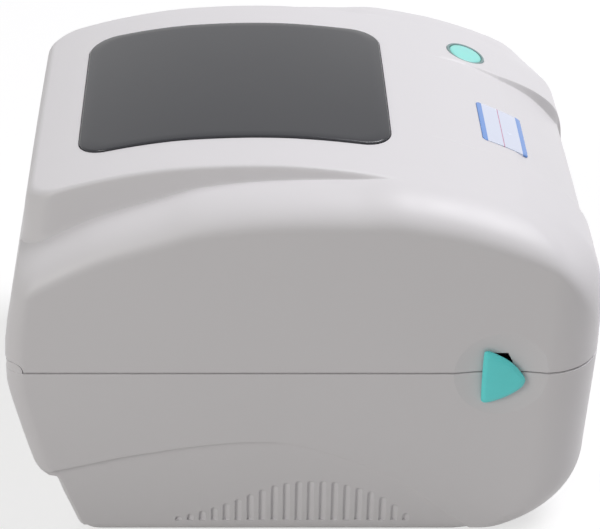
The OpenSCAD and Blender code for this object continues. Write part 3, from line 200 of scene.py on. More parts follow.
@dataclass(frozen=True)
class Finish:
    """A surface finish: its tone, how that drifts, its gloss and its grain.

    The drift is the slow change of tone that a real moulding or casting shows, the spread is
    how far the gloss varies over it, and the grain is the relief of the mould or the tool.
    """

    name: str
    tone: str
    roughness: float
    drift: float = 0.03
    drift_mm: float = 45.0
    spread: float = 0.05
    spread_mm: float = 12.0
    grain_mm: float = 0.5
    grain_depth_mm: float = 0.008
    grain_run: Run = Run.EVEN
    metallic: float = 0.0
    coat: float = 0.0
    sheen: float = 0.0
    subsurface: float = 0.15
    subsurface_mm: float = 0.0
    transmission: float = 0.0
    ior: float = 1.5

    @staticmethod
    def wandering(tree: Tree, place: Socket, size_mm: float, limits: Flat, **noise: float) -> Socket:
        """Gives a value that wanders between two limits over the surface.

        Args:
            tree: The material's node tree.
            place: The position that the pattern reads.
            size_mm: The size of its patches.
            limits: The low and the high limit.
            noise: Further inputs of the noise.

        Returns:
            The output socket that carries the value.
        """
        cloud = add_node(tree, "TexNoise", {"Vector": place, "Scale": 1 / (size_mm * MM), **noise})
        return add_node(tree, "MapRange", {"Value": cloud.outputs["Fac"], "From Min": NOISE_SPAN[0],
                                           "From Max": NOISE_SPAN[1], "To Min": limits[0],
                                           "To Max": limits[1]}).outputs["Result"]

    def tone_socket(self, tree: Tree, place: Socket) -> Socket:
        """Gives the colour, with its slow drift.

        Args:
            tree: The material's node tree.
            place: The position that patterns read.

        Returns:
            The output socket that carries the colour.
        """
        share = self.wandering(tree, place, self.drift_mm, (1 - self.drift, 1 + 0.5 * self.drift),
                               Detail=3.0, Roughness=0.55)
        return add_node(tree, "HueSaturation", {"Value": share, "Color": colour(self.tone)}).outputs["Color"]

    def gloss_socket(self, tree: Tree, place: Socket) -> Socket:
        """Gives the roughness, which drifts as handled surfaces do."""
        limits = (self.roughness - self.spread, self.roughness + self.spread)
        return self.wandering(tree, place, self.spread_mm, limits, Detail=4.0)

    def shape_socket(self, tree: Tree, place: Socket) -> Socket:
        """Gives the normal, with the grain's relief.

        Args:
            tree: The material's node tree.
            place: The position that patterns read.

        Returns:
            The output socket that carries the normal.
        """
        scale = 1 / (self.grain_mm * MM)
        grain = add_node(tree, "TexNoise", {"Vector": place, "Scale": scale, "Detail": 2.0}).outputs["Fac"]
        return add_node(tree, "Bump", {"Height": grain, "Strength": 0.6,
                                       "Distance": self.grain_depth_mm * MM}).outputs["Normal"]

    def build(self) -> bpy.types.Material:
        """Builds the material.

        Returns:
            A node material that reads the position on the piece.
        """
        material = bpy.data.materials.new(self.name)
        material.use_nodes = True
        tree = material.node_tree
        spot = add_node(tree, "TexCoord").outputs["Object"]
        stretch = Vector(self.grain_run.value)
        run = add_node(tree, "Mapping", {"Vector": spot, "Scale": stretch}).outputs["Vector"]
        inputs = {"Base Color": self.tone_socket(tree, spot), "Roughness": self.gloss_socket(tree, run),
                  "Normal": self.shape_socket(tree, run), "Metallic": self.metallic,
                  "Coat Weight": self.coat, "Sheen Weight": self.sheen}
        if self.subsurface_mm:
            inputs |= {"Subsurface Weight": self.subsurface, "Subsurface Scale": self.subsurface_mm * MM}
        if self.transmission:
            inputs |= {"Transmission Weight": self.transmission, "IOR": self.ior}
        feed(tree, tree.nodes["Principled BSDF"], inputs)
        return material


@dataclass(frozen=True)
class BandedFilm(Finish):
    """Printed polyester film: a pale field between two blue bands, with one thin line across it."""

    band: str = "#6597E2"
    line: str = "#C98BAE"
    band_share: float = 0.115
    line_mm: Flat = (0.4, 0.2)
    blur_mm: float = 0.1
    middle_y: float = -76.3
    length: float = 17.5

    def tone_socket(self, tree: Tree, place: Socket) -> Socket:
        """Gives the pale field with a band along its front and rear edges and the line between.

        Args:
            tree: The material's node tree.
            place: The position that patterns read.

        Returns:
            The output socket that carries the colour.
        """
        field = super().tone_socket(tree, place)
        y = add_node(tree, "SeparateXYZ", {"Vector": place}).outputs["Y"]
        offset = add_node(tree, "Math", {0: y, 1: self.middle_y * MM}, operation="SUBTRACT").outputs["Value"]
        reach = add_node(tree, "Math", {0: offset}, operation="ABSOLUTE").outputs["Value"]
        start = 0.5 * self.length * (1 - 2 * self.band_share)
        share = add_node(tree, "MapRange", {"Value": reach, "From Min": (start - self.blur_mm) * MM,
                                            "From Max": (start + self.blur_mm) * MM}).outputs["Result"]
        banded = add_node(tree, "Mix", {"Factor": share, "A": field, "B": colour(self.band)},
                          data_type="RGBA").outputs["Result"]
        thin = add_node(tree, "Math", {0: offset, 1: self.line_mm[0] * MM, 2: self.line_mm[1] * MM},
                        operation="COMPARE").outputs["Value"]
        return add_node(tree, "Mix", {"Factor": thin, "A": banded, "B": colour(self.line)},
                        data_type="RGBA").outputs["Result"]


@dataclass(frozen=True)
class TracedBoard(Finish):
    """Solder-masked fibreglass: green lacquer with paler copper runs under it."""

    trace: str = "#3F8A5F"
    trace_mm: float = 0.3
    run_mm: float = 11.0
    row_mm: float = 2.6

    def tone_socket(self, tree: Tree, place: Socket) -> Socket:
        """Gives the lacquer with straight runs of copper showing through.

        Args:
            tree: The material's node tree.
            place: The position that patterns read.

        Returns:
            The output socket that carries the colour.
        """
        lacquer = super().tone_socket(tree, place)
        dark, light = colour("#000000"), colour("#FFFFFF")
        runs = add_node(tree, "TexBrick", {"Vector": place, "Color1": dark, "Color2": dark, "Mortar": light,
                                           "Scale": 1.0, "Mortar Size": self.trace_mm * MM,
                                           "Brick Width": self.run_mm * MM, "Row Height": self.row_mm * MM},
                        offset=0.37).outputs["Color"]
        return add_node(tree, "Mix", {"Factor": runs, "A": lacquer, "B": colour(self.trace)},
                        data_type="RGBA").outputs["Result"]


class Finishes:
    """All the printer's finishes."""

    # Satin ABS of the case: even, faintly cool white with the soft sheen of a fine spark grain
    HOUSING = Finish("satin_abs_case", "#E6E4E6", 0.42, drift=0.008, drift_mm=70, spread=0.03, grain_mm=0.35,
                     grain_depth_mm=0.004)
    # Smoked polycarbonate: the eye sees the studio in its polish over a dark, slightly blue depth
    WINDOW = Finish("smoked_polycarbonate", "#292A33", 0.09, drift=0.02, spread=0.02, grain_mm=3,
                    grain_depth_mm=0.001, transmission=0.25, ior=1.52)
    # Printed film of the badge: pale blue field, bands along two edges, a thin line, clear gloss
    BADGE = BandedFilm("printed_film", "#DFE6F8", 0.25, drift=0.01, spread=0.03, coat=0.5, grain_mm=1.5,
                       grain_depth_mm=0.002)
    # Pale teal polycarbonate cap: glows a little, as light runs inside it
    CAP = Finish("pale_teal_cap", "#9CEEE6", 0.34, drift=0.012, drift_mm=9, spread=0.03, grain_mm=0.4,
                 grain_depth_mm=0.003, subsurface_mm=1.0)
    # Grey-teal ring round the cap, satin: its darker tone is painted shade of the gap between the cap and the
    # cover
    RING = Finish("grey_teal_ring_gap_shade", "#7E9A9A", 0.4, drift=0.02, drift_mm=10, spread=0.04, grain_mm=0.4,
                  grain_depth_mm=0.004)
    # Teal ABS of the release levers: saturated, satin, slightly polished where fingers pull; the tone is
    # lifted far above the lever's own teal, painted light so that the lever on the shaded side renders as
    # brightly as a lit one
    TEAL = Finish("teal_lever_painted_light", "#6CF3F2", 0.36, drift=0.025, drift_mm=9, spread=0.06, spread_mm=5,
                  grain_mm=0.35, grain_depth_mm=0.005)
    # Dark grey ABS inside: dull, with a coarser mould grain than the case
    INNER = Finish("dark_grey_abs", "#3B3C40", 0.55, drift=0.06, drift_mm=30, spread=0.08, grain_mm=0.45,
                   grain_depth_mm=0.012)
    # Natural acetal of gears and guides: milky, waxy and a little translucent
    ACETAL = Finish("natural_acetal", "#E8E6DF", 0.38, drift_mm=12, grain_mm=0.6, grain_depth_mm=0.004,
                    subsurface_mm=1.2)
    # Silicone rubber of the platen: matt black with the ground texture of its finish
    PLATEN = Finish("ground_silicone_rubber", "#232427", 0.78, drift=0.1, drift_mm=8, spread=0.06,
                    grain_mm=0.25, grain_depth_mm=0.015, sheen=0.08)
    # Moulded rubber of the feet: matt, dusty grey-black
    FOOT = Finish("moulded_rubber", "#2A2A2D", 0.85, drift=0.12, drift_mm=5, grain_mm=0.3,
                  grain_depth_mm=0.02, sheen=0.1)
    # Galvanised sheet: cool grey metal with cloudy zinc patches
    SHEET = Finish("galvanised_sheet", "#B9BDC1", 0.36, drift=0.14, drift_mm=6, spread=0.12, spread_mm=4,
                   grain_mm=0.8, grain_depth_mm=0.004, metallic=1.0)
    # Ground steel of pins and shafts: bright, with fine lines round the turned length
    GROUND = Finish("ground_steel", "#C6C8CB", 0.2, drift=0.06, drift_mm=10, spread=0.06, spread_mm=2,
                    grain_mm=0.12, grain_depth_mm=0.002, grain_run=Run.ALONG_Z, metallic=1.0)
    # Stainless strip of the tear bar: brushed along the width of the printer
    STAINLESS = Finish("brushed_stainless", "#C2C3C4", 0.3, drift=0.06, drift_mm=20, spread=0.1, spread_mm=1,
                       grain_mm=0.1, grain_depth_mm=0.003, grain_run=Run.ALONG_X, metallic=1.0)
    # Zinc-plated screws: slightly warm bright plating
    ZINC = Finish("zinc_plated_screw", "#BEBDB6", 0.32, drift=0.08, drift_mm=3, spread=0.1, spread_mm=1.5,
                  grain_mm=0.2, grain_depth_mm=0.003, metallic=1.0)
    # Spring wire: darker oiled steel
    SPRING = Finish("oiled_spring_wire", "#8E9094", 0.28, drift=0.08, drift_mm=3, spread=0.08, spread_mm=1,
                    grain_mm=0.1, grain_depth_mm=0.001, metallic=1.0)
    # Black lacquered motor can: half-gloss with a faint orange peel
    MOTOR = Finish("black_lacquered_can", "#26272A", 0.4, drift=0.08, drift_mm=12, spread=0.08, grain_mm=1.0,
                   grain_depth_mm=0.01, coat=0.2)
    # Sintered brass pinion: warm metal, dulled by grease
    BRASS = Finish("dull_brass", "#C2A15C", 0.38, drift=0.1, drift_mm=3, spread=0.08, spread_mm=1.5,
                   grain_mm=0.15, grain_depth_mm=0.003, metallic=1.0)
    # Extruded aluminium heatsink: pale, lined along its length by the die
    ALUMINIUM = Finish("extruded_aluminium", "#CACCCE", 0.34, drift=0.05, drift_mm=15, spread=0.08,
                       spread_mm=1, grain_mm=0.15, grain_depth_mm=0.004, grain_run=Run.ALONG_X, metallic=1.0)
    # Glazed alumina of the thermal head: warm white and glossy
    CERAMIC = Finish("glazed_alumina", "#E6E1D5", 0.18, drift_mm=8, spread=0.04, grain_mm=1.0,
                     grain_depth_mm=0.002)
    # Solder-masked board: dark green with the paler lines of its copper
    BOARD = TracedBoard("solder_masked_board", "#256043", 0.35, drift=0.06, drift_mm=20, spread=0.06,
                        grain_depth_mm=0.006)
    # Black moulded packages and sensor bodies: matt epoxy
    EPOXY = Finish("black_epoxy", "#222327", 0.5, drift=0.06, drift_mm=5, spread=0.08, grain_mm=0.2,
                   grain_depth_mm=0.006)
    # Black nylon of the sockets and switch: half-gloss, slightly mottled
    NYLON = Finish("black_nylon", "#26272B", 0.42, drift=0.07, drift_mm=6, spread=0.08, grain_mm=0.3,
                   grain_depth_mm=0.006)
    # Nickelled steel shell of the data socket: bright and smooth, a little warm
    NICKEL = Finish("nickelled_shell", "#C9C9C6", 0.24, drift=0.05, drift_mm=4, spread=0.08, spread_mm=1,
                    grain_mm=0.3, grain_depth_mm=0.002, metallic=1.0)

    # The finish of each CAD node that keeps its shape
    NODES = ((HOUSING, "bottom_plate"),
             (FOOT, "rubber_feet"),
             (ZINC, "bottom_screws tray_screws frame_screws motor_screws board_screws cover_screws"),
             (INNER, "media_tray label_guide latch_bar cover_frame"),
             (SHEET, "mechanism_frame connector_plate head_bracket"),
             (ACETAL, "platen_bushings platen_gear idler_gear roll_guide_left roll_guide_right guide_pinion"),
             (GROUND, "idler_pin hinge_pins platen_shaft striker_pins head_pivot_pin"),
             (EPOXY, "gap_sensor board_parts upper_sensor"),
             (BOARD, "main_board button_board"),
             (NYLON, "power_inlet switch_housing power_rocker"),
             (NICKEL, "usb_socket"),
             (MOTOR, "stepper_motor"),
             (BRASS, "motor_pinion"),
             (PLATEN, "platen_rubber"),
             (STAINLESS, "tear_bar"),
             (ALUMINIUM, "head_heatsink"),
             (CERAMIC, "head_ceramic"))

    @staticmethod
    @cache
    def get(finish: Finish) -> bpy.types.Material:
        """Gives the material of a finish, the same one each time."""
        return finish.build()

    @classmethod
    def dress_nodes(cls) -> None:
        """Assigns the finishes to the shown CAD nodes."""
        finishes = {name: finish for finish, names in cls.NODES for name in names.split()}
        for name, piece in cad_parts.items():
            if not piece.hide_render and name in finishes:
                for slot in piece.material_slots:
                    slot.material = cls.get(finishes[name])
                LOG.info("%s: %s", name, finishes[name].name)


# Modelling bench

class Bench:
    """Operator calls, each with the selection that it needs."""

    @staticmethod
    def take(piece: Piece, *others: Piece) -> None:
        """Selects pieces and nothing else, with the first active.

        Args:
            piece: The piece that becomes active.
            others: Further pieces.
        """
        bpy.ops.object.select_all(action="DESELECT")
        for one in (piece, *others):
            one.select_set(True)
        bpy.context.view_layer.objects.active = piece

    @staticmethod
    def settle(piece: Piece, name: str) -> Piece:
        """Names a piece and puts its place into its mesh.

        Args:
            piece: The piece.
            name: Its name.

        Returns:
            The same piece.
        """
        Bench.take(piece)
        bpy.ops.object.transform_apply(location=True, rotation=True, scale=True)
        piece.name = name
        piece.data.name = name
        return piece

    @staticmethod
    def edit(piece: Piece, action: Callable[[], None], mode: str = "FACE") -> None:
        """Runs operators in edit mode on the whole piece.

        Args:
            piece: The piece.
            action: What to do there.
            mode: VERT, EDGE or FACE.
        """
        Bench.take(piece)
        bpy.ops.object.mode_set(mode="EDIT")
        bpy.ops.mesh.select_mode(type=mode)
        bpy.ops.mesh.select_all(action="SELECT")
        action()
        bpy.ops.object.mode_set(mode="OBJECT")

    @staticmethod
    def outward(piece: Piece) -> Piece:
        """Turns every face of a closed piece outwards."""
        Bench.edit(piece, lambda: bpy.ops.mesh.normals_make_consistent(inside=False))
        return piece

    @staticmethod
    def stack(name: str, rings: Sequence[Sequence[Point]], closed: bool = False) -> Piece:
        """Skins a stack of rings of equal count.

        Args:
            name: The piece's name.
            rings: The rings in millimetres, each counter-clockwise from above when the stack rises.
            closed: True to join the last ring to the first, False to cap both ends.

        Returns:
            The new closed piece, facing outwards.
        """
        n, m = len(rings[0]), len(rings)
        points = [p for ring in rings for p in ring]
        sides = [(i, (i + 1) % n) for i in range(n)]
        faces: list[tuple[int, ...]] = []
        for k in range(m if closed else m - 1):
            a, b = k * n, (k + 1) % m * n
            faces += [(a + i, a + j, b + j, b + i) for i, j in sides]
        if not closed:
            for k, down in ((0, True), (m - 1, False)):
                hub, a = len(points), k * n
                points.append(tuple(sum(p[c] for p in rings[k]) / n for c in range(3)))
                faces += [(hub, a + j, a + i) if down else (hub, a + i, a + j) for i, j in sides]
        mesh = bpy.data.meshes.new(name)
        mesh.from_pydata([(x * MM, y * MM, z * MM) for x, y, z in points], [], faces)
        mesh.update()
        piece = bpy.data.objects.new(name, mesh)
        bpy.context.scene.collection.objects.link(piece)
        return piece

    @staticmethod
    def prism(name: str, outline: Table, along: str, low: float, high: float) -> Piece:
        """Extrudes an outline along an axis.

        Args:
            name: The piece's name.
            outline: The outline across the axis, in millimetres (X: Y and Z, Y: X and Z, Z: X and Y).
            along: X, Y or Z.
            low: Where the prism starts.
            high: Where it ends.

        Returns:
            The new closed piece.
        """
        bpy.ops.object.select_all(action="DESELECT")
        bpy.ops.mesh.primitive_circle_add(vertices=len(outline), radius=MM, fill_type="NGON")
        piece = bpy.context.object
        for vertex, (p, q) in zip(piece.data.vertices, outline):
            vertex.co = Vector({"X": (low, p, q), "Y": (p, low, q), "Z": (p, q, low)}[along]) * MM
        step = (high - low) * MM
        shift = {"X": (step, 0, 0), "Y": (0, step, 0), "Z": (0, 0, step)}[along]
        Bench.edit(piece, lambda: bpy.ops.mesh.extrude_region_move(TRANSFORM_OT_translate={"value": shift}))
        return Bench.settle(Bench.outward(piece), name)

    @staticmethod
    def block(name: str, box: Box, lift: float = 0.0) -> Piece:
        """Makes a block between two corners, lifted by a height."""
        (x0, y0, z0), (x1, y1, z1) = box
        return Bench.prism(name, [(x0, y0), (x1, y0), (x1, y1), (x0, y1)], "Z", lift + z0, lift + z1)

    @staticmethod
    def rod(name: str, radius: float, centre: Point, length: float, sides: int, along: str = "Z") -> Piece:
        """Adds a cylinder by its middle, in millimetres, along X or Z.

        Args:
            name: The piece's name.
            radius: Its radius.
            centre: Its middle.
            length: Its length.
            sides: How many sides it has.
            along: X or Z.

        Returns:
            The new closed piece.
        """
        turn = {"X": (0, math.pi / 2, 0), "Z": (0, 0, 0)}[along]
        bpy.ops.object.select_all(action="DESELECT")
        bpy.ops.mesh.primitive_cylinder_add(vertices=sides, radius=radius * MM, depth=length * MM,
                                            location=Vector(centre) * MM, rotation=turn)
        return Bench.settle(bpy.context.object, name)

    @staticmethod
    def rods(name: str, radius: float, places: Table, span: Flat, sides: int) -> list[Piece]:
        """Adds upright rods between two heights, at places on the right and their mirror places."""
        z, length = (span[0] + span[1]) / 2, span[1] - span[0]
        return [Bench.rod(name, radius, (side * x, y, z), length, sides) for x, y in places for side in SIDES]

    @staticmethod
    def turned(name: str, profile: Table, centre: Point, tilt: float, steps: int,
               ring: bool = False) -> Piece:
        """Spins a profile round an upright axis.

        Args:
            name: The piece's name.
            profile: Radius and height, in millimetres; it starts and ends on the axis unless ring is True.
            centre: Where the axis stands.
            tilt: Turn about X after the spin, in degrees.
            steps: Steps round the axis.
            ring: True for a closed section that stays clear of the axis.

        Returns:
            The new closed piece.
        """
        bpy.ops.object.select_all(action="DESELECT")
        bpy.ops.mesh.primitive_circle_add(vertices=len(profile), radius=MM, fill_type="NOTHING")
        piece = bpy.context.object
        for vertex, (r, z) in zip(piece.data.vertices, profile):
            vertex.co = Vector((r, 0, z)) * MM
        if not ring:
            ends = {0, len(profile) - 1}
            Bench.edit(piece, lambda: bpy.ops.mesh.select_all(action="DESELECT"), "EDGE")
            for edge in piece.data.edges:
                edge.select = set(edge.vertices) == ends
            bpy.ops.object.mode_set(mode="EDIT")
            bpy.ops.mesh.delete(type="EDGE_FACE")
            bpy.ops.object.mode_set(mode="OBJECT")

        def spin() -> None:
            """Spins the section and closes the seam."""
            bpy.ops.mesh.spin(steps=steps, angle=2 * math.pi, center=(0, 0, 0), axis=(0, 0, 1))
            bpy.ops.mesh.select_all(action="SELECT")
            bpy.ops.mesh.remove_doubles(threshold=1e-6)
            bpy.ops.mesh.normals_make_consistent(inside=False)

        Bench.edit(piece, spin, "VERT")
        piece.rotation_euler = (math.radians(tilt), 0, 0)
        piece.location = Vector(centre) * MM
        return Bench.settle(piece, name)

    @staticmethod
    def copied(piece: Piece) -> Piece:
        """Copies a piece, with a mesh of its own.

        Args:
            piece: The piece.

        Returns:
            The copy.
        """
        Bench.take(piece)
        bpy.ops.object.duplicate()
        return bpy.context.object

    @staticmethod
    def reflected(piece: Piece) -> Piece:
        """Copies a piece to the other side of the printer, as its mirror image.

        Args:
            piece: The piece.

        Returns:
            The closed copy, facing outwards.
        """
        twin = Bench.copied(piece)
        twin.scale = (-1, 1, 1)
        bpy.ops.object.transform_apply(location=False, rotation=False, scale=True)
        return Bench.outward(twin)

    @staticmethod
    def join(piece: Piece, *others: Piece) -> Piece:
        """Joins pieces into the first.

        Args:
            piece: The first piece.
            others: The pieces that join it.

        Returns:
            The first piece.
        """
        Bench.take(piece, *others)
        bpy.ops.object.join()
        return piece

    @staticmethod
    def mirrored(piece: Piece) -> Piece:
        """Joins a piece's mirror image to it."""
        return Bench.join(piece, Bench.reflected(piece))

    @staticmethod
    def combine(piece: Piece, tool: Piece, operation: str) -> Piece:
        """Cuts, adds or keeps the common part, and removes the tool piece.

        Args:
            piece: The piece that changes.
            tool: The piece that it is combined with.
            operation: DIFFERENCE, UNION or INTERSECT.

        Returns:
            The changed piece.
        """
        modifier = piece.modifiers.new("combine", "BOOLEAN")
        modifier.operation = operation
        modifier.solver = "MANIFOLD"
        modifier.object = tool
        Bench.take(piece)
        bpy.ops.object.modifier_apply(modifier=modifier.name)
        bpy.data.objects.remove(tool)
        return piece

    @staticmethod
    def cut(piece: Piece, *tools: Piece) -> None:
        """Cuts a piece with each tool in turn."""
        for tool in tools:
            Bench.combine(piece, tool, "DIFFERENCE")

    @staticmethod
    def weld(shell: Piece, core: Piece, solids: Iterable[Piece]) -> None:
        """Adds solids to a shell, each cut down to what lies inside the core.

        Args:
            shell: The shell.
            core: A solid that ends inside the shell's wall; it is removed at the end.
            solids: What is added.
        """
        for solid in solids:
            Bench.combine(solid, Bench.copied(core), "INTERSECT")
            Bench.combine(shell, solid, "UNION")
        bpy.data.objects.remove(core)

    @staticmethod
    def smooth(piece: Piece, angle: float, weighted: bool = False) -> None:
        """Shades a piece smooth up to an angle.

        Args:
            piece: The piece.
            angle: The sharpest angle that is shaded smooth, in degrees.
            weighted: True to let broad faces keep their own direction.
        """
        Bench.take(piece)
        bpy.ops.object.shade_smooth_by_angle(angle=math.radians(angle), keep_sharp_edges=True)
        if weighted:
            modifier = piece.modifiers.new("weight", "WEIGHTED_NORMAL")
            modifier.keep_sharp = True
            bpy.ops.object.modifier_apply(modifier=modifier.name)


def fit(piece: Piece, finish: Finish, body: str, slot: str, *nodes: str) -> None:
    """Gives a piece its finish, its body and the CAD nodes that it stands for.

    Args:
        piece: The piece.
        finish: Its finish.
        body: The CAD body that it rides on.
        slot: The record's material slot; not used.
        nodes: The CAD nodes that it replaces.
    """
    piece.data.materials.clear()
    piece.data.materials.append(Finishes.get(finish))
    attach(piece, body)
    if nodes:
        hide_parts(*nodes)
    LOG.info("%s: %d faces on %s", piece.name, len(piece.data.polygons), body)


# The housing's form

@dataclass(frozen=True)
class Cells:
    """How finely a ring is divided: panel, step, strip, corners, side and rear."""

    panel: int = 10
    step: int = 12
    strip: int = 8
    corner: int = 18
    side: int = 56
    rear: int = 16


@dataclass(frozen=True)
class HousingForm:
    """Sizes and surfaces that the two shells share, in millimetres, as the CAD part has them.

    A point of the cover has a level: 0 to 1 is the wall, to 2 the shoulder and nose, to 3 the
    hood's wall, and beyond that the roof.
    """

    half_width: float = 89.0
    length: float = 220.0
    parting_z: float = 76.0
    rise: float = 76.3
    wall: float = 2.8
    front_corner: float = 22.0
    front_corner_loss: float = 0.35
    rear_corner: float = 8.0
    rear_corner_gain: float = 3.0
    shoulder_w: float = 19.5
    shoulder_drop: float = 11.0
    hood_h: float = 20.0
    hood_inset: float = 3.2
    # How the rear leans in: how far, its shares below and in the hood, and how it grows with height
    rear_lean: float = 10.0
    lean_low: float = 0.465
    lean_hood: float = 0.6
    lean_from: float = 3.8
    lean_span: float = 0.4536
    lean_power: float = 1.8
    # The roof's crown: its height in the middle, what it gains in front, and where that starts and ends
    crown_mid: float = 1.3
    crown_front: float = 1.6
    crown_from: float = 0.55
    crown_fade: float = 0.3
    # The nose, the sunken front panel with the flare at its foot, and the step up to its two strips,
    # which together may take no more than a share of the flat front
    nose_l: float = 30.0
    nose_rise: float = 12.0
    strip_start: float = 39.5
    strip_end: float = 29.0
    strip_foot: float = 48.0
    strip_flare: float = 0.75
    slope_share: float = 0.318
    panel_depth: float = 1.4
    panel_fade: float = 0.182
    panel_power: float = 1.6
    edge_w: float = 1.4
    foot_limit: float = 0.72
    crest_limit: float = 0.78
    # The outermost ring of the roof: its level, its multiples of the sizes below it, and the middle that
    # the rings inside it shrink to
    roof_level: float = 3.4
    roof_half: float = 0.8
    roof_inset: float = 2.1
    roof_rear: float = 0.78
    roof_front_corner: float = 0.5
    roof_rear_corner: float = 0.64
    roof_y: float = 16.5
    # How fast the inner skin sinks to its full depth above the wall, per level
    inner_drop: float = 1.5
    # How the base's front bows back towards its foot, and how far its rear stands in
    bow_share: float = 0.45
    bow_power: float = 2.3
    bow_top: float = 2.0
    bow_foot: float = 40.0
    base_rear_in: float = 27.5
    hinge_y: float = 106.5
    hinge_z: float = 76.0
    barrel_r: float = 3.2
    lug_bay: Flat = (60.2, 80.8)
    # Tables: a share of the depth, of a level or of the height, and the share of a size there
    top_shares: Table = ((0, 0.40), (0.036, 0.575), (0.077, 0.686), (0.116, 0.756), (0.164, 0.816),
                         (0.212, 0.864), (0.259, 0.902), (0.318, 0.934), (0.409, 0.970), (0.5, 0.993),
                         (0.577, 1), (0.655, 0.994), (0.727, 0.977), (0.809, 0.937), (0.886, 0.882),
                         (0.945, 0.826), (1, 0.765))
    step_shares: Table = ((0, 0), (0.34, 0), (0.365, 0.02), (0.388, 0.06), (0.418, 0.12), (0.51, 0.225),
                          (0.593, 0.29), (0.64, 0.335), (0.687, 0.4), (0.733, 0.51), (0.78, 0.59),
                          (0.844, 0.69), (0.89, 0.8), (0.945, 0.93), (1, 1))
    strip_in: Table = evenly(0.003, 0.023, 0.067, 0.16, 0.333, 0.617, 1)
    strip_up: Table = evenly(0, 0.254, 0.445, 0.597, 0.727, 0.864, 1)
    panel_in: Table = evenly(0.05, 0.075, 0.105, 0.16, 0.37, 0.63, 1)
    panel_up: Table = evenly(0, 0.225, 0.42, 0.49, 0.665, 0.83, 1)
    hood_in: Table = ((0, 0), (0.2, 0.13), (0.5, 0.3), (0.75, 0.5), (0.9, 0.75), (1, 1))
    hood_up: Table = ((0, 0), (0.2, 0.12), (0.5, 0.6), (0.75, 0.89), (0.9, 0.98), (1, 1))
    arch: Table = ((0.19, 0.03), (0.215, 0.12), (0.245, 0.235), (0.281, 0.375), (0.31, 0.5), (0.334, 0.59),
                   (0.368, 0.69), (0.407, 0.775), (0.448, 0.855), (0.488, 0.925), (0.53, 0.975),
                   (0.576, 0.99), (0.624, 0.98), (0.675, 0.952), (0.739, 0.9), (0.81, 0.832), (0.87, 0.758),
                   (0.926, 0.69), (0.95, 0.66))
    base_rear_shares: Table = ((0.03, 0.93), (0.06, 0.87), (0.1, 0.83), (0.23, 0.695), (0.362, 0.55),
                               (0.372, 0.42), (0.4, 0.345), (0.44, 0.295), (0.68, 0.13), (0.89, 0.01),
                               (1, 0.005))

    @property
    def front(self) -> float:
        """Gives the front face's Y."""
        return -self.length / 2

    @property
    def rear(self) -> float:
        """Gives the rear face's Y."""
        return self.length / 2

    @property
    def hood_half(self) -> float:
        """Gives half the width of the hood at its foot."""
        return self.half_width - self.shoulder_w

    def along(self, y: float) -> float:
        """Gives the share of the depth at a Y."""
        return (y - self.front) / self.length

    def at(self, share: float) -> float:
        """Gives the Y at a share of the depth."""
        return self.front + share * self.length

    def top(self, x: float, y: float) -> float:
        """Gives the height of the cover's skin, before the front panel is sunk."""
        crown = self.crown_mid + self.crown_front * ease((self.crown_from - self.along(y)) / self.crown_fade)
        return (self.parting_z + self.rise * curve(self.top_shares, self.along(y))
                - crown * (min(abs(x), self.hood_half) / self.hood_half) ** 2)

    def hood_step(self, y: float) -> float:
        """Gives the height of the hood's side wall."""
        return self.hood_h * curve(self.step_shares, self.along(y))

    def shoulder(self, x: float, y: float) -> float:
        """Gives the height at the hood's foot."""
        return self.top(x, y) - self.hood_step(y)

    def strip_x(self, y: float) -> float:
        """Gives half the width of the sunken front panel."""
        return self.strip_end + (self.strip_start - self.strip_end) * clamp(self.along(y) / self.slope_share)

    def panel_drop(self, y: float) -> float:
        """Gives the depth of the front panel below its strips."""
        share = max(0, (self.slope_share - self.along(y)) / self.panel_fade)
        return self.panel_depth * share ** self.panel_power

    def side_z(self, x: float, y: float, v: float) -> float:
        """Gives the height of a side point at a level.

        Args:
            x: Its distance from the middle plane.
            y: Its Y.
            v: Its level.

        Returns:
            Its Z.
        """
        low = self.shoulder(min(x, self.hood_half), y) - self.shoulder_drop
        if v <= 1:
            return self.parting_z + (low - self.parting_z) * v
        if v <= 2:
            return low + self.shoulder_drop * math.sin(math.pi / 2 * (v - 1))
        if v <= 3:
            return self.shoulder(x, y) + self.hood_step(y) * curve(self.hood_up, v - 2)
        return self.top(x, y)

    def front_z(self, x: float, y: float, v: float, shares: Table, drop: float, back: float = 0.0) -> float:
        """Gives the height of a front point at a level.

        Args:
            x: Its X.
            y: Its Y.
            v: Its level.
            shares: How the nose rises there.
            drop: How far the surface is sunk.
            back: How far the point stands back in a rounded corner.

        Returns:
            Its Z.
        """
        foot = self.parting_z + self.nose_rise
        if v <= 1:
            return self.parting_z + self.nose_rise * v
        if v <= 2:
            return foot + (self.top(x, self.front + self.nose_l + back) - drop - foot) * curve(shares, v - 1)
        return self.top(x, y) - drop

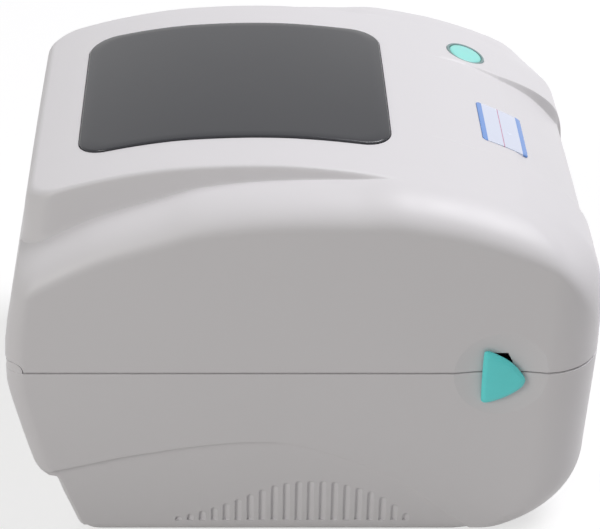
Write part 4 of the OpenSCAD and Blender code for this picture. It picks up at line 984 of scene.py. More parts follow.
    def cover_ring(self, v: float, off: float, cells: Cells) -> list[Point]:
        """Lays one ring of the cover.

        Args:
            v: Its level.
            off: How far the ring is set in from the outer skin.
            cells: How finely the ring is divided.

        Returns:
            The ring's points, counter-clockwise from above, from the middle of the front.
        """
        t, s, u = clamp(v - 1), clamp(v - 2), max(0.0, v - 3) / (self.roof_level - 3)
        nose_end = self.front + self.nose_l
        hood = curve(self.hood_in, s)
        rear_low = self.side_z(0, self.rear - self.rear_lean, min(v, 2)) - self.parting_z
        grown = max(0, rear_low - self.lean_from) / (self.lean_span * self.rise)
        lean = self.lean_low * grown ** self.lean_power
        shoulder = self.shoulder_w * (1 - math.cos(math.pi / 2 * t))
        half_w = (self.half_width - shoulder - self.hood_inset * hood) * (1 + (self.roof_half - 1) * u) - off
        back = self.nose_l * (curve(self.strip_in, t) if v <= 2 else 1) + self.hood_inset * s
        front = self.front + back * (1 + (self.roof_inset - 1) * u) + off
        rear = ((self.rear - self.rear_lean * (lean + self.lean_hood * hood))
                * (1 + (self.roof_rear - 1) * u) - off)
        front_r = max(1, self.front_corner * (1 - self.front_corner_loss * t)
                      * (1 + (self.roof_front_corner - 1) * u) - off)
        rear_r = max(1, (self.rear_corner + self.rear_corner_gain * t)
                     * (1 + (self.roof_rear_corner - 1) * u) - off)
        strip = self.strip_x(nose_end if v < 2 else front)
        if v < 2:
            strip += (self.strip_foot - strip) * (1 - t) ** self.strip_flare
        foot = min(strip, self.foot_limit * (half_w - front_r))
        crest = min(foot + self.edge_w, self.crest_limit * (half_w - front_r))
        drop = self.panel_drop(nose_end if v < 2 else front)
        panel_y = self.front + self.nose_l * curve(self.panel_in, t) + off if v < 2 else front
        low_z = self.front_z(foot, front, v, self.panel_up, drop)
        high_z = self.front_z(crest, front, v, self.strip_up, 0)
        half = []
        for k in range(cells.panel + 1):
            x = foot * k / cells.panel
            half.append((x, panel_y, self.front_z(x, front, v, self.panel_up, drop)))
        for k in range(1, cells.step):
            share, w = k / cells.step, ease(k / cells.step)
            half.append((foot + (crest - foot) * share, panel_y + (front - panel_y) * w,
                         low_z + (high_z - low_z) * w))
        for k in range(cells.strip + 1):
            x = crest + (half_w - front_r - crest) * k / cells.strip
            half.append((x, front, self.front_z(x, front, v, self.strip_up, 0)))
        for k in range(1, cells.corner + 1):
            g = math.pi / 2 * k / cells.corner
            x, y = half_w - front_r + front_r * math.sin(g), front + front_r - front_r * math.cos(g)
            w, line = math.cos(g) ** 2, front if v < 2 else y
            half.append((x, y, w * self.front_z(x, line, v, self.strip_up, 0, y - front)
                         + (1 - w) * self.side_z(x, y, v)))
        sides = [(half_w, front + front_r + (rear - rear_r - front - front_r) * k / cells.side)
                 for k in range(1, cells.side + 1)]
        for k in range(1, cells.corner + 1):
            g = math.pi / 2 * k / cells.corner
            sides.append((half_w - rear_r + rear_r * math.cos(g), rear - rear_r + rear_r * math.sin(g)))
        sides += [((half_w - rear_r) * (1 - k / cells.rear), rear) for k in range(1, cells.rear + 1)]
        half += [(x, y, self.side_z(x, y, v)) for x, y in sides]
        sink = off * clamp((v - 1) * self.inner_drop)
        whole = half + [(-x, y, z) for x, y, z in half[-2:0:-1]]
        return [(x, y, self.parting_z if v == 0 else z - sink) for x, y, z in whole]

    def roof_rings(self, off: float, cells: Cells, shares: Sequence[float]) -> list[list[Point]]:
        """Lays the roof's rings, which shrink towards its middle.

        Args:
            off: How far the roof is set in.
            cells: How finely the rings are divided.
            shares: Shares of the way to the middle.

        Returns:
            The rings, from the outer one in.
        """
        edge = self.cover_ring(self.roof_level, off, cells)
        rings = []
        for share in shares:
            k = 1 - share
            ring = [(x * k, self.roof_y + (y - self.roof_y) * k) for x, y, _ in edge]
            rings.append([(x, y, self.top(x, y) - off) for x, y in ring])
        return rings

    def cover_rings(self, levels: Iterable[float], off: float, cells: Cells,
                    shares: Sequence[float]) -> list[list[Point]]:
        """Lays the cover's rings from its rim to the middle of its roof.

        Args:
            levels: The levels of the rings below the roof.
            off: How far they are set in.
            cells: How finely they are divided.
            shares: Shares of the way to the roof's middle.

        Returns:
            The rings, from the lowest up.
        """
        return [self.cover_ring(v, off, cells) for v in levels] + self.roof_rings(off, cells, shares)

    def bow(self, z: float) -> float:
        """Gives how far the base's front stands back at a height.

        Args:
            z: The height.

        Returns:
            The distance behind the front face.
        """
        low = self.bow_share * self.parting_z
        q = clamp((low - z) / (low - 1))
        return (self.bow_top * clamp((self.parting_z - z) / (self.parting_z - low))
                + self.bow_foot * (1 - (1 - q ** self.bow_power) ** (1 / self.bow_power)))

    def base_rear(self, z: float) -> float:
        """Gives how far the base's rear stands in at a height."""
        return self.base_rear_in * curve(self.base_rear_shares, z / self.parting_z)

    def plan(self, a: float, f: float, r: float, inset: float, cells: Cells) -> list[Flat]:
        """Lays the base's rounded plan outline.

        Args:
            a: Half its width.
            f: Its front.
            r: Its rear.
            inset: How much smaller its corners' radii are than the outer skin's.
            cells: How finely it is divided.

        Returns:
            The outline, counter-clockwise from the middle of the front.
        """
        rf, rr = self.front_corner - inset, self.rear_corner - inset
        turns = [math.pi / 2 * k / cells.corner for k in range(cells.corner + 1)]
        half = [((a - rf) * k / cells.strip, f) for k in range(cells.strip)]
        half += [(a - rf + rf * math.sin(g), f + rf - rf * math.cos(g)) for g in turns]
        half += [(a, f + rf + (r - rr - f - rf) * k / cells.side) for k in range(1, cells.side)]
        half += [(a - rr + rr * math.cos(g), r - rr + rr * math.sin(g)) for g in turns]
        half += [((a - rr) * (1 - k / cells.rear), r) for k in range(1, cells.rear + 1)]
        return half + [(-x, y) for x, y in half[-2:0:-1]]


FORM = HousingForm()
BOSS_R = 4.0
PILOT_R = 1.8


@dataclass
class LeverPocket:
    """The shallow dish and the slot round a release lever, cut through both shells."""

    middle_y: float = -72.1
    middle_z: float = 75.4
    dish_d: float = 35.0
    dish_depth: float = 1.8
    dish_step: float = 0.42
    dish_steps: int = 35
    face_slack: float = 0.02
    rim_slack: float = 0.3
    # The slot's outline in Y and Z, and the span in X that it is cut through
    slot: Table = ((-65.5, 84), (-65.5, 66), (-74.5, 66), (-76, 69), (-76, 80), (-74, 84))
    slot_x: Flat = (80.0, 91.0)

    def cut(self, shell: Piece) -> None:
        """Cuts both sides of a shell.

        Args:
            shell: The shell.
        """
        ball = ((self.dish_d / 2) ** 2 + self.dish_depth ** 2) / (2 * self.dish_depth)
        turns = [math.radians(self.dish_step) * k for k in range(self.dish_steps + 1)]
        profile = [(ball * math.sin(g), -ball * math.cos(g)) for g in turns]
        dish = Bench.turned("dish_cutter", [*profile, (0, profile[-1][1])], (0, 0, 0), 0, 120)
        dish.rotation_euler = (0, math.pi / 2, 0)
        dish.location = Vector((FORM.half_width + ball - self.dish_depth, self.middle_y, self.middle_z)) * MM
        Bench.cut(shell, Bench.mirrored(Bench.settle(dish, "dish_cutter")),
                  Bench.mirrored(Bench.prism("slot_cutter", self.slot, "X", *self.slot_x)))

    def crease(self, shell: Piece) -> None:
        """Marks the rim of the dish as a crisp edge.

        Args:
            shell: The shell.
        """
        mesh = shell.data
        for edge in mesh.edges:
            ends = [mesh.vertices[i].co / MM for i in edge.vertices]
            reach = [math.hypot(p.y - self.middle_y, p.z - self.middle_z) - self.dish_d / 2 for p in ends]
            if (all(abs(abs(p.x) - FORM.half_width) < self.face_slack for p in ends)
                    and all(abs(r) < self.rim_slack for r in reach)):
                edge.use_edge_sharp = True


@dataclass
class CoverShell:
    """The top cover: one moulding with the hood, the shoulders, the front panel and the nose."""

    cells: Cells = Cells()
    core_cells: Cells = Cells(panel=4, step=2, strip=3, corner=6, side=20, rear=4)
    level_step: float = 0.2
    fine_step: float = 0.04
    roof_step: float = 0.05
    middle_step: float = 0.07
    roof_reach: float = 0.98
    wall_levels: tuple[float, ...] = (0.15, 0.4, 0.7)
    core_shares: tuple[float, ...] = (0.2, 0.5, 0.8, 0.95)
    # The small round along the rim: inset and height of each ring
    rim: Table = ((2.68, 0.08), (2.45, 0.0), (0.35, 0.0), (0.17, 0.05), (0.05, 0.17), (0.0, 0.35))
    screw_places: Table = ((76.5, -17.6), (76.5, 79.2))
    boss_z: Flat = (86.5, 143.5)
    pilot_z: Flat = (82.0, 98.0)
    button_boss: Point = (10.0, -12.0, 0.0)
    button_hole: Point = (8.15, -13.0, 4.0)
    # The notches for the hinge: a round one for the rolled rim, a flat one behind it and one for the lugs
    inner_lift: float = 0.3
    barrel_gap: float = 0.45
    barrel_l: float = 184.0
    barrel_back: Box = ((-92, 106.5, 75), (92, 111, 79.8))
    lug_notch: Table = ((100, 75), (104.5, 79.8), (111, 79.8), (111, 75))
    label_exit: Box = ((-57.5, -111, 75), (57.5, -102, 84.8))

    def skin(self) -> Piece:
        """Builds the bare shell, with a small round along its rim.

        Returns:
            The closed shell.
        """
        shares = steps_between((0, self.roof_reach), self.middle_step)[1:]
        stops = (0, 1, 2, 3, FORM.roof_level)
        inner = FORM.cover_rings(steps_between(stops, self.level_step), FORM.wall, self.cells, shares)
        inner[0] = [(x, y, z + self.inner_lift) for x, y, z in inner[0]]
        rings = inner[::-1]
        for inset, lift in self.rim:
            rings.append([(x, y, FORM.parting_z + lift) for x, y, _ in FORM.cover_ring(0, inset, self.cells)])
        levels = [*self.wall_levels, *steps_between((1, 2, 3), self.fine_step),
                  *steps_between((3, FORM.roof_level), self.roof_step)[1:]]
        return Bench.stack("top_cover_shell", rings + FORM.cover_rings(levels, 0, self.cells, shares))

    def core(self) -> Piece:
        """Builds the solid that keeps the bosses inside the skin.

        Returns:
            The closed solid.
        """
        levels = steps_between((0, 1, 2, 3, FORM.roof_level), self.level_step)
        rings = FORM.cover_rings(levels, FORM.wall / 2, self.core_cells, self.core_shares)
        return Bench.stack("boss_core", rings)

    def build(self, window: "ViewingWindow", badge: "Nameplate", button: "FeedButton") -> None:
        """Builds and dresses the cover.

        Args:
            window: The window, which needs a pocket and an opening.
            badge: The badge, which needs a shallow pocket.
            button: The feed button, which needs a hole and a boss.
        """
        shell = self.skin()
        bosses = Bench.rods("boss", BOSS_R, self.screw_places, self.boss_z, 32)
        Bench.weld(shell, self.core(), [*bosses, button.bored("boss", *self.button_boss)])
        Bench.cut(shell, *Bench.rods("hole", PILOT_R, self.screw_places, self.pilot_z, 24),
                  Bench.rod("notch_cutter", FORM.barrel_r + self.barrel_gap, (0, FORM.hinge_y, FORM.hinge_z),
                            self.barrel_l, 72, "X"),
                  Bench.block("notch_cutter", self.barrel_back),
                  Bench.mirrored(Bench.prism("notch_cutter", self.lug_notch, "X", *FORM.lug_bay)),
                  window.pocket(), window.opening(), badge.pocket(), button.bored("hole", *self.button_hole))
        pocket = LeverPocket()
        pocket.cut(shell)
        Bench.cut(shell, Bench.block("exit_cutter", self.label_exit))
        pocket.crease(shell)
        Bench.smooth(shell, angle=24, weighted=True)
        fit(shell, Finishes.HOUSING, "cover", "housing", "top_cover")


@dataclass
class BaseShell:
    """The base: the skirt with its arched recess and grooves, the bowed front and the socket bay."""

    cells: Cells = Cells(strip=10, side=44, rear=12)
    plate_top: float = 4.6
    rim: float = 75.4
    rim_round: Table = ((0.05, 0.17), (0.17, 0.05), (0.35, 0.0))
    outer_stops: tuple[float, ...] = (0, 0.03, 0.12, 0.324, 0.3345, 0.41, 0.7, 0.995)
    outer_step: float = 0.022
    inner_shares: tuple[float, ...] = (0, 0.04, 0.08, 0.12, 0.19, 0.27, 0.36, 0.375, 0.41, 0.53, 0.58, 0.6,
                                       0.62, 0.64, 0.7, 0.87, 1)
    core_heights: tuple[float, ...] = (4.6, 8, 12, 16, 20, 24, 27.5, 28.3, 30.5, 33.5, 38, 46, 56, 66, 74)
    arch_depth: float = 1.8
    arch_top: float = 45.0
    arch_rear_share: float = 0.6
    arch_reach: float = 3.0
    arch_steps: int = 60
    waist_fade: float = 4.0
    # How far an inner ring's height lags behind the outer skin's, in walls: in front and low at the rear
    front_lag: float = 0.8
    rear_lag: float = 1.0
    groove_count: int = 20
    groove_pitch: float = 4.58
    groove_start: float = 47.1
    groove_foot: float = 2.1
    groove_depth: float = 1.0
    groove_h: float = 18.6
    groove_back: float = 1.2
    # The section of a groove: how far out from its floor, then its reach to the rear and to the front
    groove_section: Sequence[Point] = ((0, 1.2, -0.5), (0.1, 1.22, -0.2), (0.8, 1.24, 1.05),
                                       (1.0, 1.34, 1.34), (4, 1.34, 1.34))
    groove_turns: int = 8
    groove_shares: Table = ((0, 0.1), (0.105, 0.235), (0.21, 0.43), (0.316, 0.66), (0.42, 0.885),
                            (0.526, 0.99), (0.63, 1), (0.684, 0.98), (0.737, 0.907), (0.84, 0.738),
                            (0.895, 0.59), (0.947, 0.4), (1, 0.175))
    screw_x: float = 80.2
    screw_shares: tuple[float, ...] = (0.3, 0.57, 0.8)
    boss_z: Flat = (4.6, 21.6)
    pilot_z: Flat = (3.6, 19.6)
    tray_screws: Table = ((77.2, -6.0), (77.2, 64.0))
    tray_pilot_z: Flat = (57.0, 71.0)
    gusset: Table = ((87.6, 69), (72.7, 69), (72.7, 60), (87.6, 45))
    gusset_t: float = 10.0
    # The socket bay's block, its mouth and its inner opening, over the bottom plate
    bay: Box = ((6, 80.5, 0), (78, 94.5, 22.5))
    bay_mouth: Box = ((8, 83, 2), (76, 111, 20.5))
    bay_back: Box = ((10, 79.5, 4), (74, 84, 18.5))
    fanfold_slot: Box = ((-56, 94.5, 59), (56, 111, 67))
    rim_inset: float = 0.35
    rim_trim_z: Flat = (70.0, 82.0)
    lug_notch: Table = ((98.7, 76.4), (105.8, 72.2), (111, 72.2), (111, 80.2), (98.7, 80.2))

    @property
    def screw_places(self) -> list[Flat]:
        """Gives where the bottom screws stand on the right."""
        return [(self.screw_x, FORM.at(k)) for k in self.screw_shares]

    def outer(self, z: float, inset: float = 0.0) -> list[Point]:
        """Lays an outer ring at a height.

        Args:
            z: The height.
            inset: How far it is set in.

        Returns:
            The ring's points.
        """
        front, rear = FORM.front + FORM.bow(z) + inset, FORM.rear - FORM.base_rear(z) - inset
        return [(x, y, z) for x, y in FORM.plan(FORM.half_width - inset, front, rear, inset, self.cells)]

    def inner(self, z: float) -> list[Point]:
        """Lays an inner ring at a height, set in further behind the arch.

        Args:
            z: The height.

        Returns:
            The ring's points.
        """
        behind = ease((self.arch_top + self.waist_fade - z) / self.waist_fade)
        wall, side = FORM.wall, FORM.half_width - behind * (self.arch_depth + self.groove_depth)
        low = self.rear_lag * wall if z < 0.5 * FORM.parting_z else 0
        front = FORM.front + FORM.bow(z - self.front_lag * wall) + wall
        rear = FORM.rear - FORM.base_rear(z - low) - wall
        return [(x, y, z) for x, y in FORM.plan(side - wall, front, rear, wall, self.cells)]

    def skin(self) -> Piece:
        """Builds the bare shell, with a small round along its rim.

        Returns:
            The closed shell.
        """
        span = self.rim - self.plate_top
        shares = steps_between(self.outer_stops, self.outer_step)
        rings = [self.outer(self.plate_top + k * span) for k in shares]
        rings += [self.outer(self.rim - drop, inset) for inset, drop in self.rim_round]
        rings += [self.inner(self.plate_top + k * span) for k in reversed(self.inner_shares)]
        return Bench.stack("base_shell_skin", rings, closed=True)

    def arch_outline(self, grow: float) -> list[Flat]:
        """Gives the recess's outline in Y and Z.

        Args:
            grow: How far the outline is moved out, in millimetres.

        Returns:
            The outline, closed along the floor.
        """
        points = []
        start, end, dk = FORM.arch[0][0], FORM.arch[-1][0], 0.004
        for i in range(self.arch_steps + 1):
            k = start + (end - start) * i / self.arch_steps
            low, mid, high = (self.arch_top * curve(FORM.arch, share) for share in (k - dk, k, k + dk))
            slope = (high - low) / (2 * dk * FORM.length)
            size = math.hypot(1, slope)
            points.append((FORM.at(k) - slope / size * grow, mid + grow / size))
        rear, foot, top = FORM.rear + self.arch_reach, -self.arch_reach, self.arch_rear_share * self.arch_top
        return [(points[0][0], foot), *points, (rear, top + grow), (rear, foot)]

    def arch_cutter(self) -> Piece:
        """Builds the recess's cutter, with a small round along its floor and its edge.

        Returns:
            The closed cutters of both sides, joined.
        """
        face, floor = FORM.half_width, FORM.half_width - self.arch_depth
        section = ((floor, -0.5), (floor + 0.06, -0.3), (floor + 0.25, -0.12), (floor + 0.6, -0.05),
                   (face - 0.6, 0.02), (face - 0.25, 0.08), (face - 0.06, 0.25), (face, 0.45),
                   (face + 1, 0.6))
        rings = [[(x, y, z) for y, z in self.arch_outline(grow)] for x, grow in section]
        return Bench.mirrored(Bench.outward(Bench.stack("arch_cutter", rings)))

    def groove(self, y: float, height: float) -> Piece:
        """Builds one groove's cutter, a rounded slot, deep at its rear edge and rising forwards.

        Args:
            y: Where it stands.
            height: Its height.

        Returns:
            The closed cutter.
        """
        floor = FORM.half_width - self.arch_depth - self.groove_depth
        foot = self.plate_top + self.groove_foot
        turns = [math.pi * k / self.groove_turns for k in range(self.groove_turns + 1)]
        rings = []
        for x, back, fore in self.groove_section:
            mid, r, grow = y + (back - fore) / 2, (back + fore) / 2, back - self.groove_back
            top, low = foot + height + grow, foot - 0.5 * grow
            arc = [(mid + r * math.cos(g), top - r + r * math.sin(g)) for g in turns]
            rings.append([(floor + x, py, pz) for py, pz in [(mid + r, low), *arc, (mid - r, low)]])
        return Bench.outward(Bench.stack("groove", rings))

    def groove_cutter(self) -> Piece:
        """Builds the cutter of the whole row of grooves, on both sides.

        Returns:
            The closed cutters, joined.
        """
        grooves = []
        for i in range(self.groove_count):
            height = self.groove_h * curve(self.groove_shares, i / (self.groove_count - 1))
            grooves.append(self.groove(self.groove_start - i * self.groove_pitch, height))
        return Bench.mirrored(Bench.join(*grooves))

    def inside(self) -> list[Piece]:
        """Builds the screw bosses, the tray's gussets and the socket bay's block.

        Returns:
            Solids that are added to the shell.
        """
        solids = Bench.rods("boss", BOSS_R, self.screw_places, self.boss_z, 32)
        half = self.gusset_t / 2
        for _, y in self.tray_screws:
            for side in SIDES:
                outline = [(side * x, z) for x, z in self.gusset]
                solids.append(Bench.prism("gusset", outline, "Y", y - half, y + half))
        return solids + [Bench.block("bay", self.bay, self.plate_top)]

    def rolled_rim(self) -> Piece:
        """Builds the rounded rim that runs round the hinge's axis, trimmed to the plan.

        Returns:
            The trimmed rim.
        """
        inset = self.rim_inset
        outline = FORM.plan(FORM.half_width - inset, FORM.front, FORM.rear - inset, inset, self.cells)
        centre = (0, FORM.hinge_y, FORM.hinge_z)
        rim = Bench.rod("rolled_rim", FORM.barrel_r, centre, 2 * FORM.half_width, 72, "X")
        trim = Bench.stack("plan", [[(x, y, z) for x, y in outline] for z in self.rim_trim_z])
        return Bench.combine(rim, trim, "INTERSECT")

    def build(self) -> None:
        """Builds and dresses the base."""
        shell = self.skin()
        core = Bench.stack("base_core", [self.outer(z, FORM.wall / 2) for z in self.core_heights])
        Bench.weld(shell, core, self.inside())
        Bench.cut(shell, *Bench.rods("hole", PILOT_R, self.screw_places, self.pilot_z, 24),
                  *Bench.rods("hole", PILOT_R, self.tray_screws, self.tray_pilot_z, 24),
                  Bench.block("bay_cutter", self.bay_mouth, self.plate_top),
                  Bench.block("bay_cutter", self.bay_back, self.plate_top),
                  self.arch_cutter(), self.groove_cutter())
        pocket = LeverPocket()
        pocket.cut(shell)
        Bench.cut(shell, Bench.block("fanfold_cutter", self.fanfold_slot))
        Bench.combine(shell, self.rolled_rim(), "UNION")
        Bench.cut(shell, Bench.mirrored(Bench.prism("notch_cutter", self.lug_notch, "X", *FORM.lug_bay)))
        pocket.crease(shell)
        Bench.smooth(shell, angle=24, weighted=True)
        fit(shell, Finishes.HOUSING, "base", "housing", "base_shell")


@dataclass
class Patch:
    """A plate or a pocket that follows the cover's skin, with a rounded outline."""

    width: float
    length: float
    radius: float
    centre: Flat
    sunk: bool = False
    cell: float = 3.0
    corner_cells: int = 12
    shares: tuple[float, ...] = (0.03, 0.12, 0.24, 0.36, 0.48, 0.6, 0.72, 0.84, 0.93)

    def outline(self, inset: float) -> list[Flat]:
        """Lays the outline, moved in by an inset.

        Args:
            inset: How far it is moved in.

        Returns:
            Its points, counter-clockwise.
        """
        a, b = self.width / 2 - inset, self.length / 2 - inset
        r = max(0.02, min(self.radius - inset, a - 0.01, b - 0.01))
        n_x, n_y = (max(1, round((size - 2 * self.radius) / self.cell)) for size in (self.width, self.length))
        sides = ((n_x, (-(a - r), -b), (a - r, -b), (a - r, -(b - r)), -90),
                 (n_y, (a, -(b - r)), (a, b - r), (a - r, b - r), 0),
                 (n_x, (a - r, b), (-(a - r), b), (-(a - r), b - r), 90),
                 (n_y, (-a, b - r), (-a, -(b - r)), (-(a - r), -(b - r)), 180))
        points = []
        for n, start, end, hub, turn in sides:
            points += [tuple(p + (q - p) * k / n for p, q in zip(start, end)) for k in range(n)]
            for k in range(self.corner_cells):
                g = math.radians(turn + 90 * k / self.corner_cells)
                points.append((hub[0] + r * math.cos(g), hub[1] + r * math.sin(g)))
        return [(x + self.centre[0], y + self.centre[1]) for x, y in points]

    def ring(self, inset: float, lift: float, share: float = 1.0) -> list[Point]:
        """Lays a ring at a height over the skin, drawn in to a share of its size.

        Args:
            inset: How far its outline is moved in.
            lift: Its height over the skin.
            share: The share of its size.

        Returns:
            Its points.
        """
        mx, my = self.centre
        points = [(mx + (x - mx) * share, my + (y - my) * share) for x, y in self.outline(inset)]
        return [(x, y, FORM.top(x, y) - (FORM.panel_drop(y) if self.sunk else 0) + lift) for x, y in points]

    def solid(self, name: str, profile: Table) -> Piece:
        """Skins rings of inset and lift from the underside's middle to the top's.

        Args:
            name: The piece's name.
            profile: Inset and lift of each ring of the edge, from the bottom up.

        Returns:
            The closed piece.
        """
        rings = [self.ring(*profile[0], share) for share in self.shares]
        rings += [self.ring(*row) for row in profile]
        return Bench.stack(name, rings + [self.ring(*profile[-1], share) for share in reversed(self.shares)])


@dataclass
class ViewingWindow:
    """The smoked window in the hood, a plate that stands slightly proud of it."""

    width: float = 96.0
    length: float = 115.0
    radius: float = 11.0
    thickness: float = 2.0
    proud: float = 0.8
    rim: float = 6.0
    gap: float = 0.3
    pocket_top: float = 4.0
    opening_z: Flat = (-12.0, 2.0)
    middle_y: float = 25.6

    def patch(self, grow: float) -> Patch:
        """Gives the window's outline, grown by an amount each way."""
        return Patch(self.width + 2 * grow, self.length + 2 * grow, self.radius + grow, (0, self.middle_y))

    def pocket(self) -> Piece:
        """Builds the cutter of the pocket that the plate lies in."""
        floor = self.proud - self.thickness - 0.1
        return self.patch(self.gap).solid("window_pocket", ((0, floor), (0, self.pocket_top)))

    def opening(self) -> Piece:
        """Builds the cutter of the opening under the plate."""
        return self.patch(-self.rim).solid("window_opening", [(0, z) for z in self.opening_z])

    def build(self) -> None:
        """Builds and dresses the window."""
        low, high = self.proud - self.thickness, self.proud
        profile = ((0.25, low), (0.07, low + 0.07), (0, low + 0.25), (0, high - 0.6), (0.05, high - 0.36),
                   (0.16, high - 0.18), (0.34, high - 0.06), (0.6, high))
        plate = self.patch(0).solid("smoked_window", profile)
        Bench.smooth(plate, angle=40)
        fit(plate, Finishes.WINDOW, "cover", "window_smoke", "window")


@dataclass
class Nameplate:
    """The small film badge low on the front panel, left without words."""

    width: float = 29.5
    length: float = 17.5
    radius: float = 1.5
    thickness: float = 0.8
    sink: float = 0.5
    gap: float = 0.15
    pocket_top: float = 4.0
    centre: Flat = (-11.5, -76.3)

    def patch(self, grow: float) -> Patch:
        """Gives the badge's outline, grown by an amount each way."""
        return Patch(self.width + 2 * grow, self.length + 2 * grow, self.radius + grow, self.centre,
                     sunk=True, cell=1.5)

    def pocket(self) -> Piece:
        """Builds the cutter of the badge's pocket."""
        return self.patch(self.gap).solid("badge_pocket", ((0, -self.sink), (0, self.pocket_top)))

    def build(self) -> None:
        """Builds and dresses the badge."""
        low, high = 0.1 - self.sink, self.thickness - self.sink
        profile = ((0, low), (0, high - 0.2), (0.06, high - 0.06), (0.2, high))
        plate = self.patch(0).solid("film_badge", profile)
        Bench.smooth(plate, angle=40)
        fit(plate, Finishes.BADGE, "cover", "badge_film", "badge")


@dataclass
class FeedButton:
    """The feed button: a domed teal cap in a ring, level with the cover's slope."""

    x: float = 46.5
    y: float = -67.6
    cap_d: float = 13.5
    ring_d: float = 16.0
    ring_wall: float = 1.1

    @property
    def tilt(self) -> float:
        """Gives the slope under the button, in degrees."""
        return math.degrees(math.atan((FORM.top(self.x, self.y + 3) - FORM.top(self.x, self.y - 3)) / 6))

    def turned(self, name: str, profile: Table, steps: int, ring: bool = False) -> Piece:
        """Spins a profile round the button's axis, with height 0 on the skin."""
        return Bench.turned(name, profile, (self.x, self.y, FORM.top(self.x, self.y)), self.tilt, steps, ring)

    def bored(self, name: str, radius: float, low: float, high: float) -> Piece:
        """Builds a cylinder on the button's axis, for a boss or a hole."""
        return self.turned(name, [(0, low), (radius, low), (radius, high), (0, high)], 64)

    def build(self) -> None:
        """Builds and dresses the cap and its ring."""
        r = self.cap_d / 2
        dome = [(r * 0.93 * math.cos(g), 0.12 + 0.28 * math.sin(g)) for g in
                (math.pi / 2 * k / 10 for k in range(1, 10))]
        cap = self.turned("feed_button_cap", [(0, -9), (3, -9), (3, -6), (r - 0.2, -6), (r, -5.8), (r, -0.35),
                                              (r - 0.05, -0.15), (r - 0.2, 0.02), (r - 0.45, 0.1), *dome,
                                              (0, 0.4)], 96)
        R, w = self.ring_d / 2, self.ring_wall
        ring = self.turned("feed_button_ring", [(R - w, -7), (R, -7), (R, -0.15), (R - 0.05, 0.05),
                                                (R - 0.22, 0.18), (R - 0.4, 0.2), (R - w + 0.3, 0.2),
                                                (R - w + 0.08, 0.12), (R - w, -0.1)], 96, ring=True)
        for piece in (cap, ring):
            Bench.smooth(piece, angle=35)
        fit(cap, Finishes.CAP, "button", "button_cap", "feed_button")
        # The ring's darker grey-teal is painted shade of the gap round the cap
        fit(ring, Finishes.RING, "cover", "button_trim", "button_ring")


@dataclass
class ReleaseLevers:
    """The two teal levers that let the cover go, one on each side."""

    height: float = 22.6
    length: float = 16.0
    inner_x: float = 88.6
    rear_y: float = -64.9
    middle_z: float = 74.4
    hub_share: float = 0.42
    stem: Box = ((81, -71, 68), (88.9, -67.5, 79))
    shares: Table = ((0, -0.44), (-0.04, -0.485), (-0.12, -0.5), (-0.3, -0.465), (-0.49, -0.41),
                     (-0.68, -0.337), (-0.87, -0.235), (-0.96, -0.157), (-1, -0.06), (-0.97, 0),
                     (-0.84, 0.137), (-0.68, 0.265), (-0.49, 0.365), (-0.3, 0.44), (-0.12, 0.5),
                     (-0.04, 0.49), (0, 0.45))
    # The cap's crown: how far out each ring stands and its share of the outline
    crown: Table = ((0, 0.96), (0.1, 0.99), (0.3, 1.0), (0.8, 1.0), (0.95, 0.995), (1.1, 0.98), (1.9, 0.855),
                    (2.03, 0.825), (2.11, 0.79), (2.17, 0.7), (2.25, 0.5), (2.29, 0.28), (2.3, 0.1))

    def outline(self) -> list[Flat]:
        """Lays the cap's outline, with its corners cut round.

        Returns:
            Its points in Y and Z.
        """
        points = [(self.rear_y + a * self.length, self.middle_z + b * self.height) for a, b in self.shares]
        for _ in range(3):
            points = [(p[0] + (q[0] - p[0]) * k, p[1] + (q[1] - p[1]) * k)
                      for p, q in zip(points, points[1:] + points[:1]) for k in (0.25, 0.75)]
        return points

    def cap(self) -> Piece:
        """Builds the right-hand lever's cap, crowned and rounded, with its stem.

        Returns:
            The closed lever.
        """
        outline = self.outline()
        hub_y, hub_z = self.rear_y - self.hub_share * self.length, self.middle_z
        rings = [[(self.inner_x + dx, hub_y + (y - hub_y) * k, hub_z + (z - hub_z) * k) for y, z in outline]
                 for dx, k in self.crown]
        cap = Bench.outward(Bench.stack("lever_cap", rings))
        return Bench.combine(cap, Bench.block("stem", self.stem), "UNION")

    def build(self) -> None:
        """Builds and dresses both levers."""
        right = self.cap()
        left = Bench.reflected(right)
        for lever, side in ((right, "right"), (left, "left")):
            lever.name = "release_lever_" + side
            Bench.smooth(lever, angle=40)
            # The levers' teal is lifted above its own tone, painted light for the shaded side
            fit(lever, Finishes.TEAL, "latch", "lever_teal", "lever_" + side)


@dataclass(frozen=True)
class Coil:
    """A wire spring with its end turns laid flat."""

    foot: Point
    axis: Point
    length: float
    radius: float
    wire: float
    turns: int
    end_rise: float = 2.15
    turn_cells: int = 24
    wire_cells: int = 10

    def sweep(self, name: str) -> Piece:
        """Sweeps the wire round the axis and mirrors the spring to the other side.

        Args:
            name: The pair's name.

        Returns:
            The closed pair.
        """
        along = Vector(self.axis)
        side = along.orthogonal().normalized()
        across = along.cross(side)
        reach = self.length - 2 * self.wire
        flat = self.end_rise * self.wire / reach
        climb = ((0, 0), (1 / self.turns, flat), (1 - 1 / self.turns, 1 - flat), (1, 1))
        steps = self.turn_cells * self.turns
        rings = []
        for k in range(steps + 1):
            g = math.tau * self.turns * k / steps
            out = side * math.cos(g) + across * math.sin(g)
            rise = self.wire + reach * straight(climb, k / steps)
            hub = Vector(self.foot) + along * rise + out * self.radius
            rings.append([tuple(hub + (out * math.cos(q) + along * math.sin(q)) * self.wire)
                          for q in (math.tau * i / self.wire_cells for i in range(self.wire_cells))])
        return Bench.mirrored(Bench.outward(Bench.stack(name, rings)))


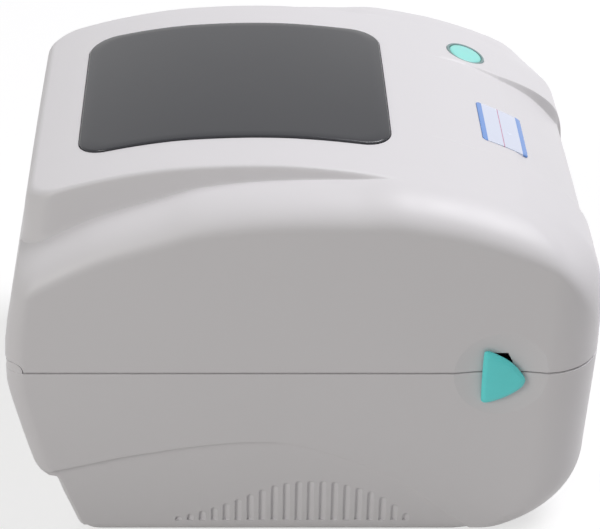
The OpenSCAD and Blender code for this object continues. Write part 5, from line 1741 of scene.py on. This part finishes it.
@dataclass
class CoilSprings:
    """The wire springs: a pair that turns the latch back and a pair that presses the head down."""

    latch: Coil = Coil((48.8, -66.0, 56.0), (1, 0, 0), length=9.0, radius=4.2, wire=0.55, turns=6)
    head: Coil = Coil((36.0, -93.0, 86.4), (0, 0, 1), length=10.6, radius=2.55, wire=0.42, turns=7)
    head_keep: float = 0.865

    def build(self) -> None:
        """Builds and dresses both pairs."""
        latch, head = self.latch.sweep("latch_return_springs"), self.head.sweep("head_pressure_springs")
        for pair in (latch, head):
            Bench.smooth(pair, angle=60)
        fit(latch, Finishes.SPRING, "base", "steel", "latch_springs")
        fit(head, Finishes.SPRING, "cover", "steel", "head_springs")
        top = Vector(self.head.foot) + Vector(self.head.axis) * self.head.length
        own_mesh(head)


@dataclass
class Studio:
    """The plain studio: pale floor, soft lamps and the camera at the photograph's angle."""

    camera_at: Point = (-750.7, 27.6, 528.1)
    camera_along: Point = (0.8526, 0.0, -0.5225)
    lens: float = 131.4
    sensor: float = 36.0
    shift_x: float = 0.118
    reach: float = 20.0
    ambient: float = 0.235
    floor_size: float = 6.0
    floor_gap: float = 0.0002
    floor_tone: str = "#CAC8C5"
    paper_tone: str = "#ADADAD"
    paper_glow: float = 0.66
    lamp_aim: Point = (0.0, 0.0, 0.08)
    # Each lamp's name, place and side in metres, power in watts and colour
    lamps: tuple[tuple[str, Point, float, float, str], ...] = (
        ("key_softbox", (0.42, -0.95, 1.7), 1.1, 26, "#FCFBFF"),
        ("fill_softbox", (-1.1, 1.15, 0.95), 0.8, 8.4, "#FDFBF7"))

    def camera(self) -> None:
        """Sets the camera up."""
        data = bpy.data.cameras.new("photo_camera")
        data.lens = self.lens
        data.sensor_width = self.sensor
        data.shift_x = self.shift_x
        data.clip_end = self.reach
        piece = bpy.data.objects.new("photo_camera", data)
        piece.location = Vector(self.camera_at) * MM
        piece.rotation_euler = Vector(self.camera_along).to_track_quat("-Z", "Y").to_euler()
        bpy.context.scene.collection.objects.link(piece)
        bpy.context.scene.camera = piece

    def seen(self, tree: Tree) -> Socket:
        """Gives 1 for what the camera sees, directly or in gloss or through glass.

        Args:
            tree: The node tree.

        Returns:
            The output socket that carries the value.
        """
        rays = add_node(tree, "LightPath").outputs
        level = rays["Is Camera Ray"]
        for kind in ("Is Glossy Ray", "Is Transmission Ray"):
            level = add_node(tree, "Math", {0: level, 1: rays[kind]}, operation="MAXIMUM").outputs["Value"]
        return level

    def surroundings(self) -> None:
        """Makes the world white to the camera and plain to the light."""
        world = bpy.data.worlds.new("studio_world")
        world.use_nodes = True
        tree = world.node_tree
        level = add_node(tree, "MapRange", {"Value": self.seen(tree), "To Min": self.ambient, "To Max": 1.0})
        feed(tree, tree.nodes["Background"], {"Strength": level.outputs["Result"],
                                              "Color": colour("#FFFFFF")})
        bpy.context.scene.world = world

    def floor(self) -> None:
        """Lays the pale floor, white to the camera except in the object's shadow."""
        bpy.ops.object.select_all(action="DESELECT")
        bpy.ops.mesh.primitive_plane_add(size=self.floor_size, location=(0, 0, -self.floor_gap))
        floor = Bench.settle(bpy.context.object, "studio_floor")
        material = bpy.data.materials.new("studio_paper")
        material.use_nodes = True
        tree = material.node_tree
        tree.nodes.remove(tree.nodes["Principled BSDF"])
        bounce = add_node(tree, "BsdfDiffuse", {"Color": colour(self.floor_tone)})
        paper = add_node(tree, "BsdfDiffuse", {"Color": colour(self.paper_tone)})
        glow = add_node(tree, "Emission", {"Color": colour("#FFFFFF"), "Strength": self.paper_glow})
        lit = add_node(tree, "AddShader", {0: paper.outputs[0], 1: glow.outputs[0]})
        mix = add_node(tree, "MixShader", {0: self.seen(tree), 1: bounce.outputs[0], 2: lit.outputs[0]})
        feed(tree, tree.nodes["Material Output"], {"Surface": mix.outputs[0]})
        floor.data.materials.append(material)

    def lamp(self, name: str, at: Point, size: float, power: float, tone: str) -> None:
        """Adds a square soft lamp that faces the object.

        Args:
            name: The lamp's name.
            at: Its place, in metres.
            size: Its side, in metres.
            power: Its power, in watts.
            tone: Its colour.
        """
        data = bpy.data.lights.new(name, "AREA")
        data.size = size
        data.energy = power
        data.color = colour(tone)[:3]
        piece = bpy.data.objects.new(name, data)
        piece.location = at
        piece.rotation_euler = (Vector(self.lamp_aim) - Vector(at)).to_track_quat("-Z", "Y").to_euler()
        bpy.context.scene.collection.objects.link(piece)

    def build(self) -> None:
        """Builds the studio."""
        self.camera()
        self.surroundings()
        self.floor()
        for lamp in self.lamps:
            self.lamp(*lamp)
        bpy.context.scene.view_settings.view_transform = "Standard"


def main() -> None:
    """Builds the printer's pieces in order, then the studio."""
    logging.basicConfig(level=logging.INFO, format="%(message)s")
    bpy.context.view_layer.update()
    window, badge, button = ViewingWindow(), Nameplate(), FeedButton()
    for piece in (window, badge, button, ReleaseLevers(), CoilSprings()):
        piece.build()
    CoverShell().build(window, badge, button)
    BaseShell().build()
    Finishes.dress_nodes()
    Studio().build()


if __name__ == "__main__":
    main()
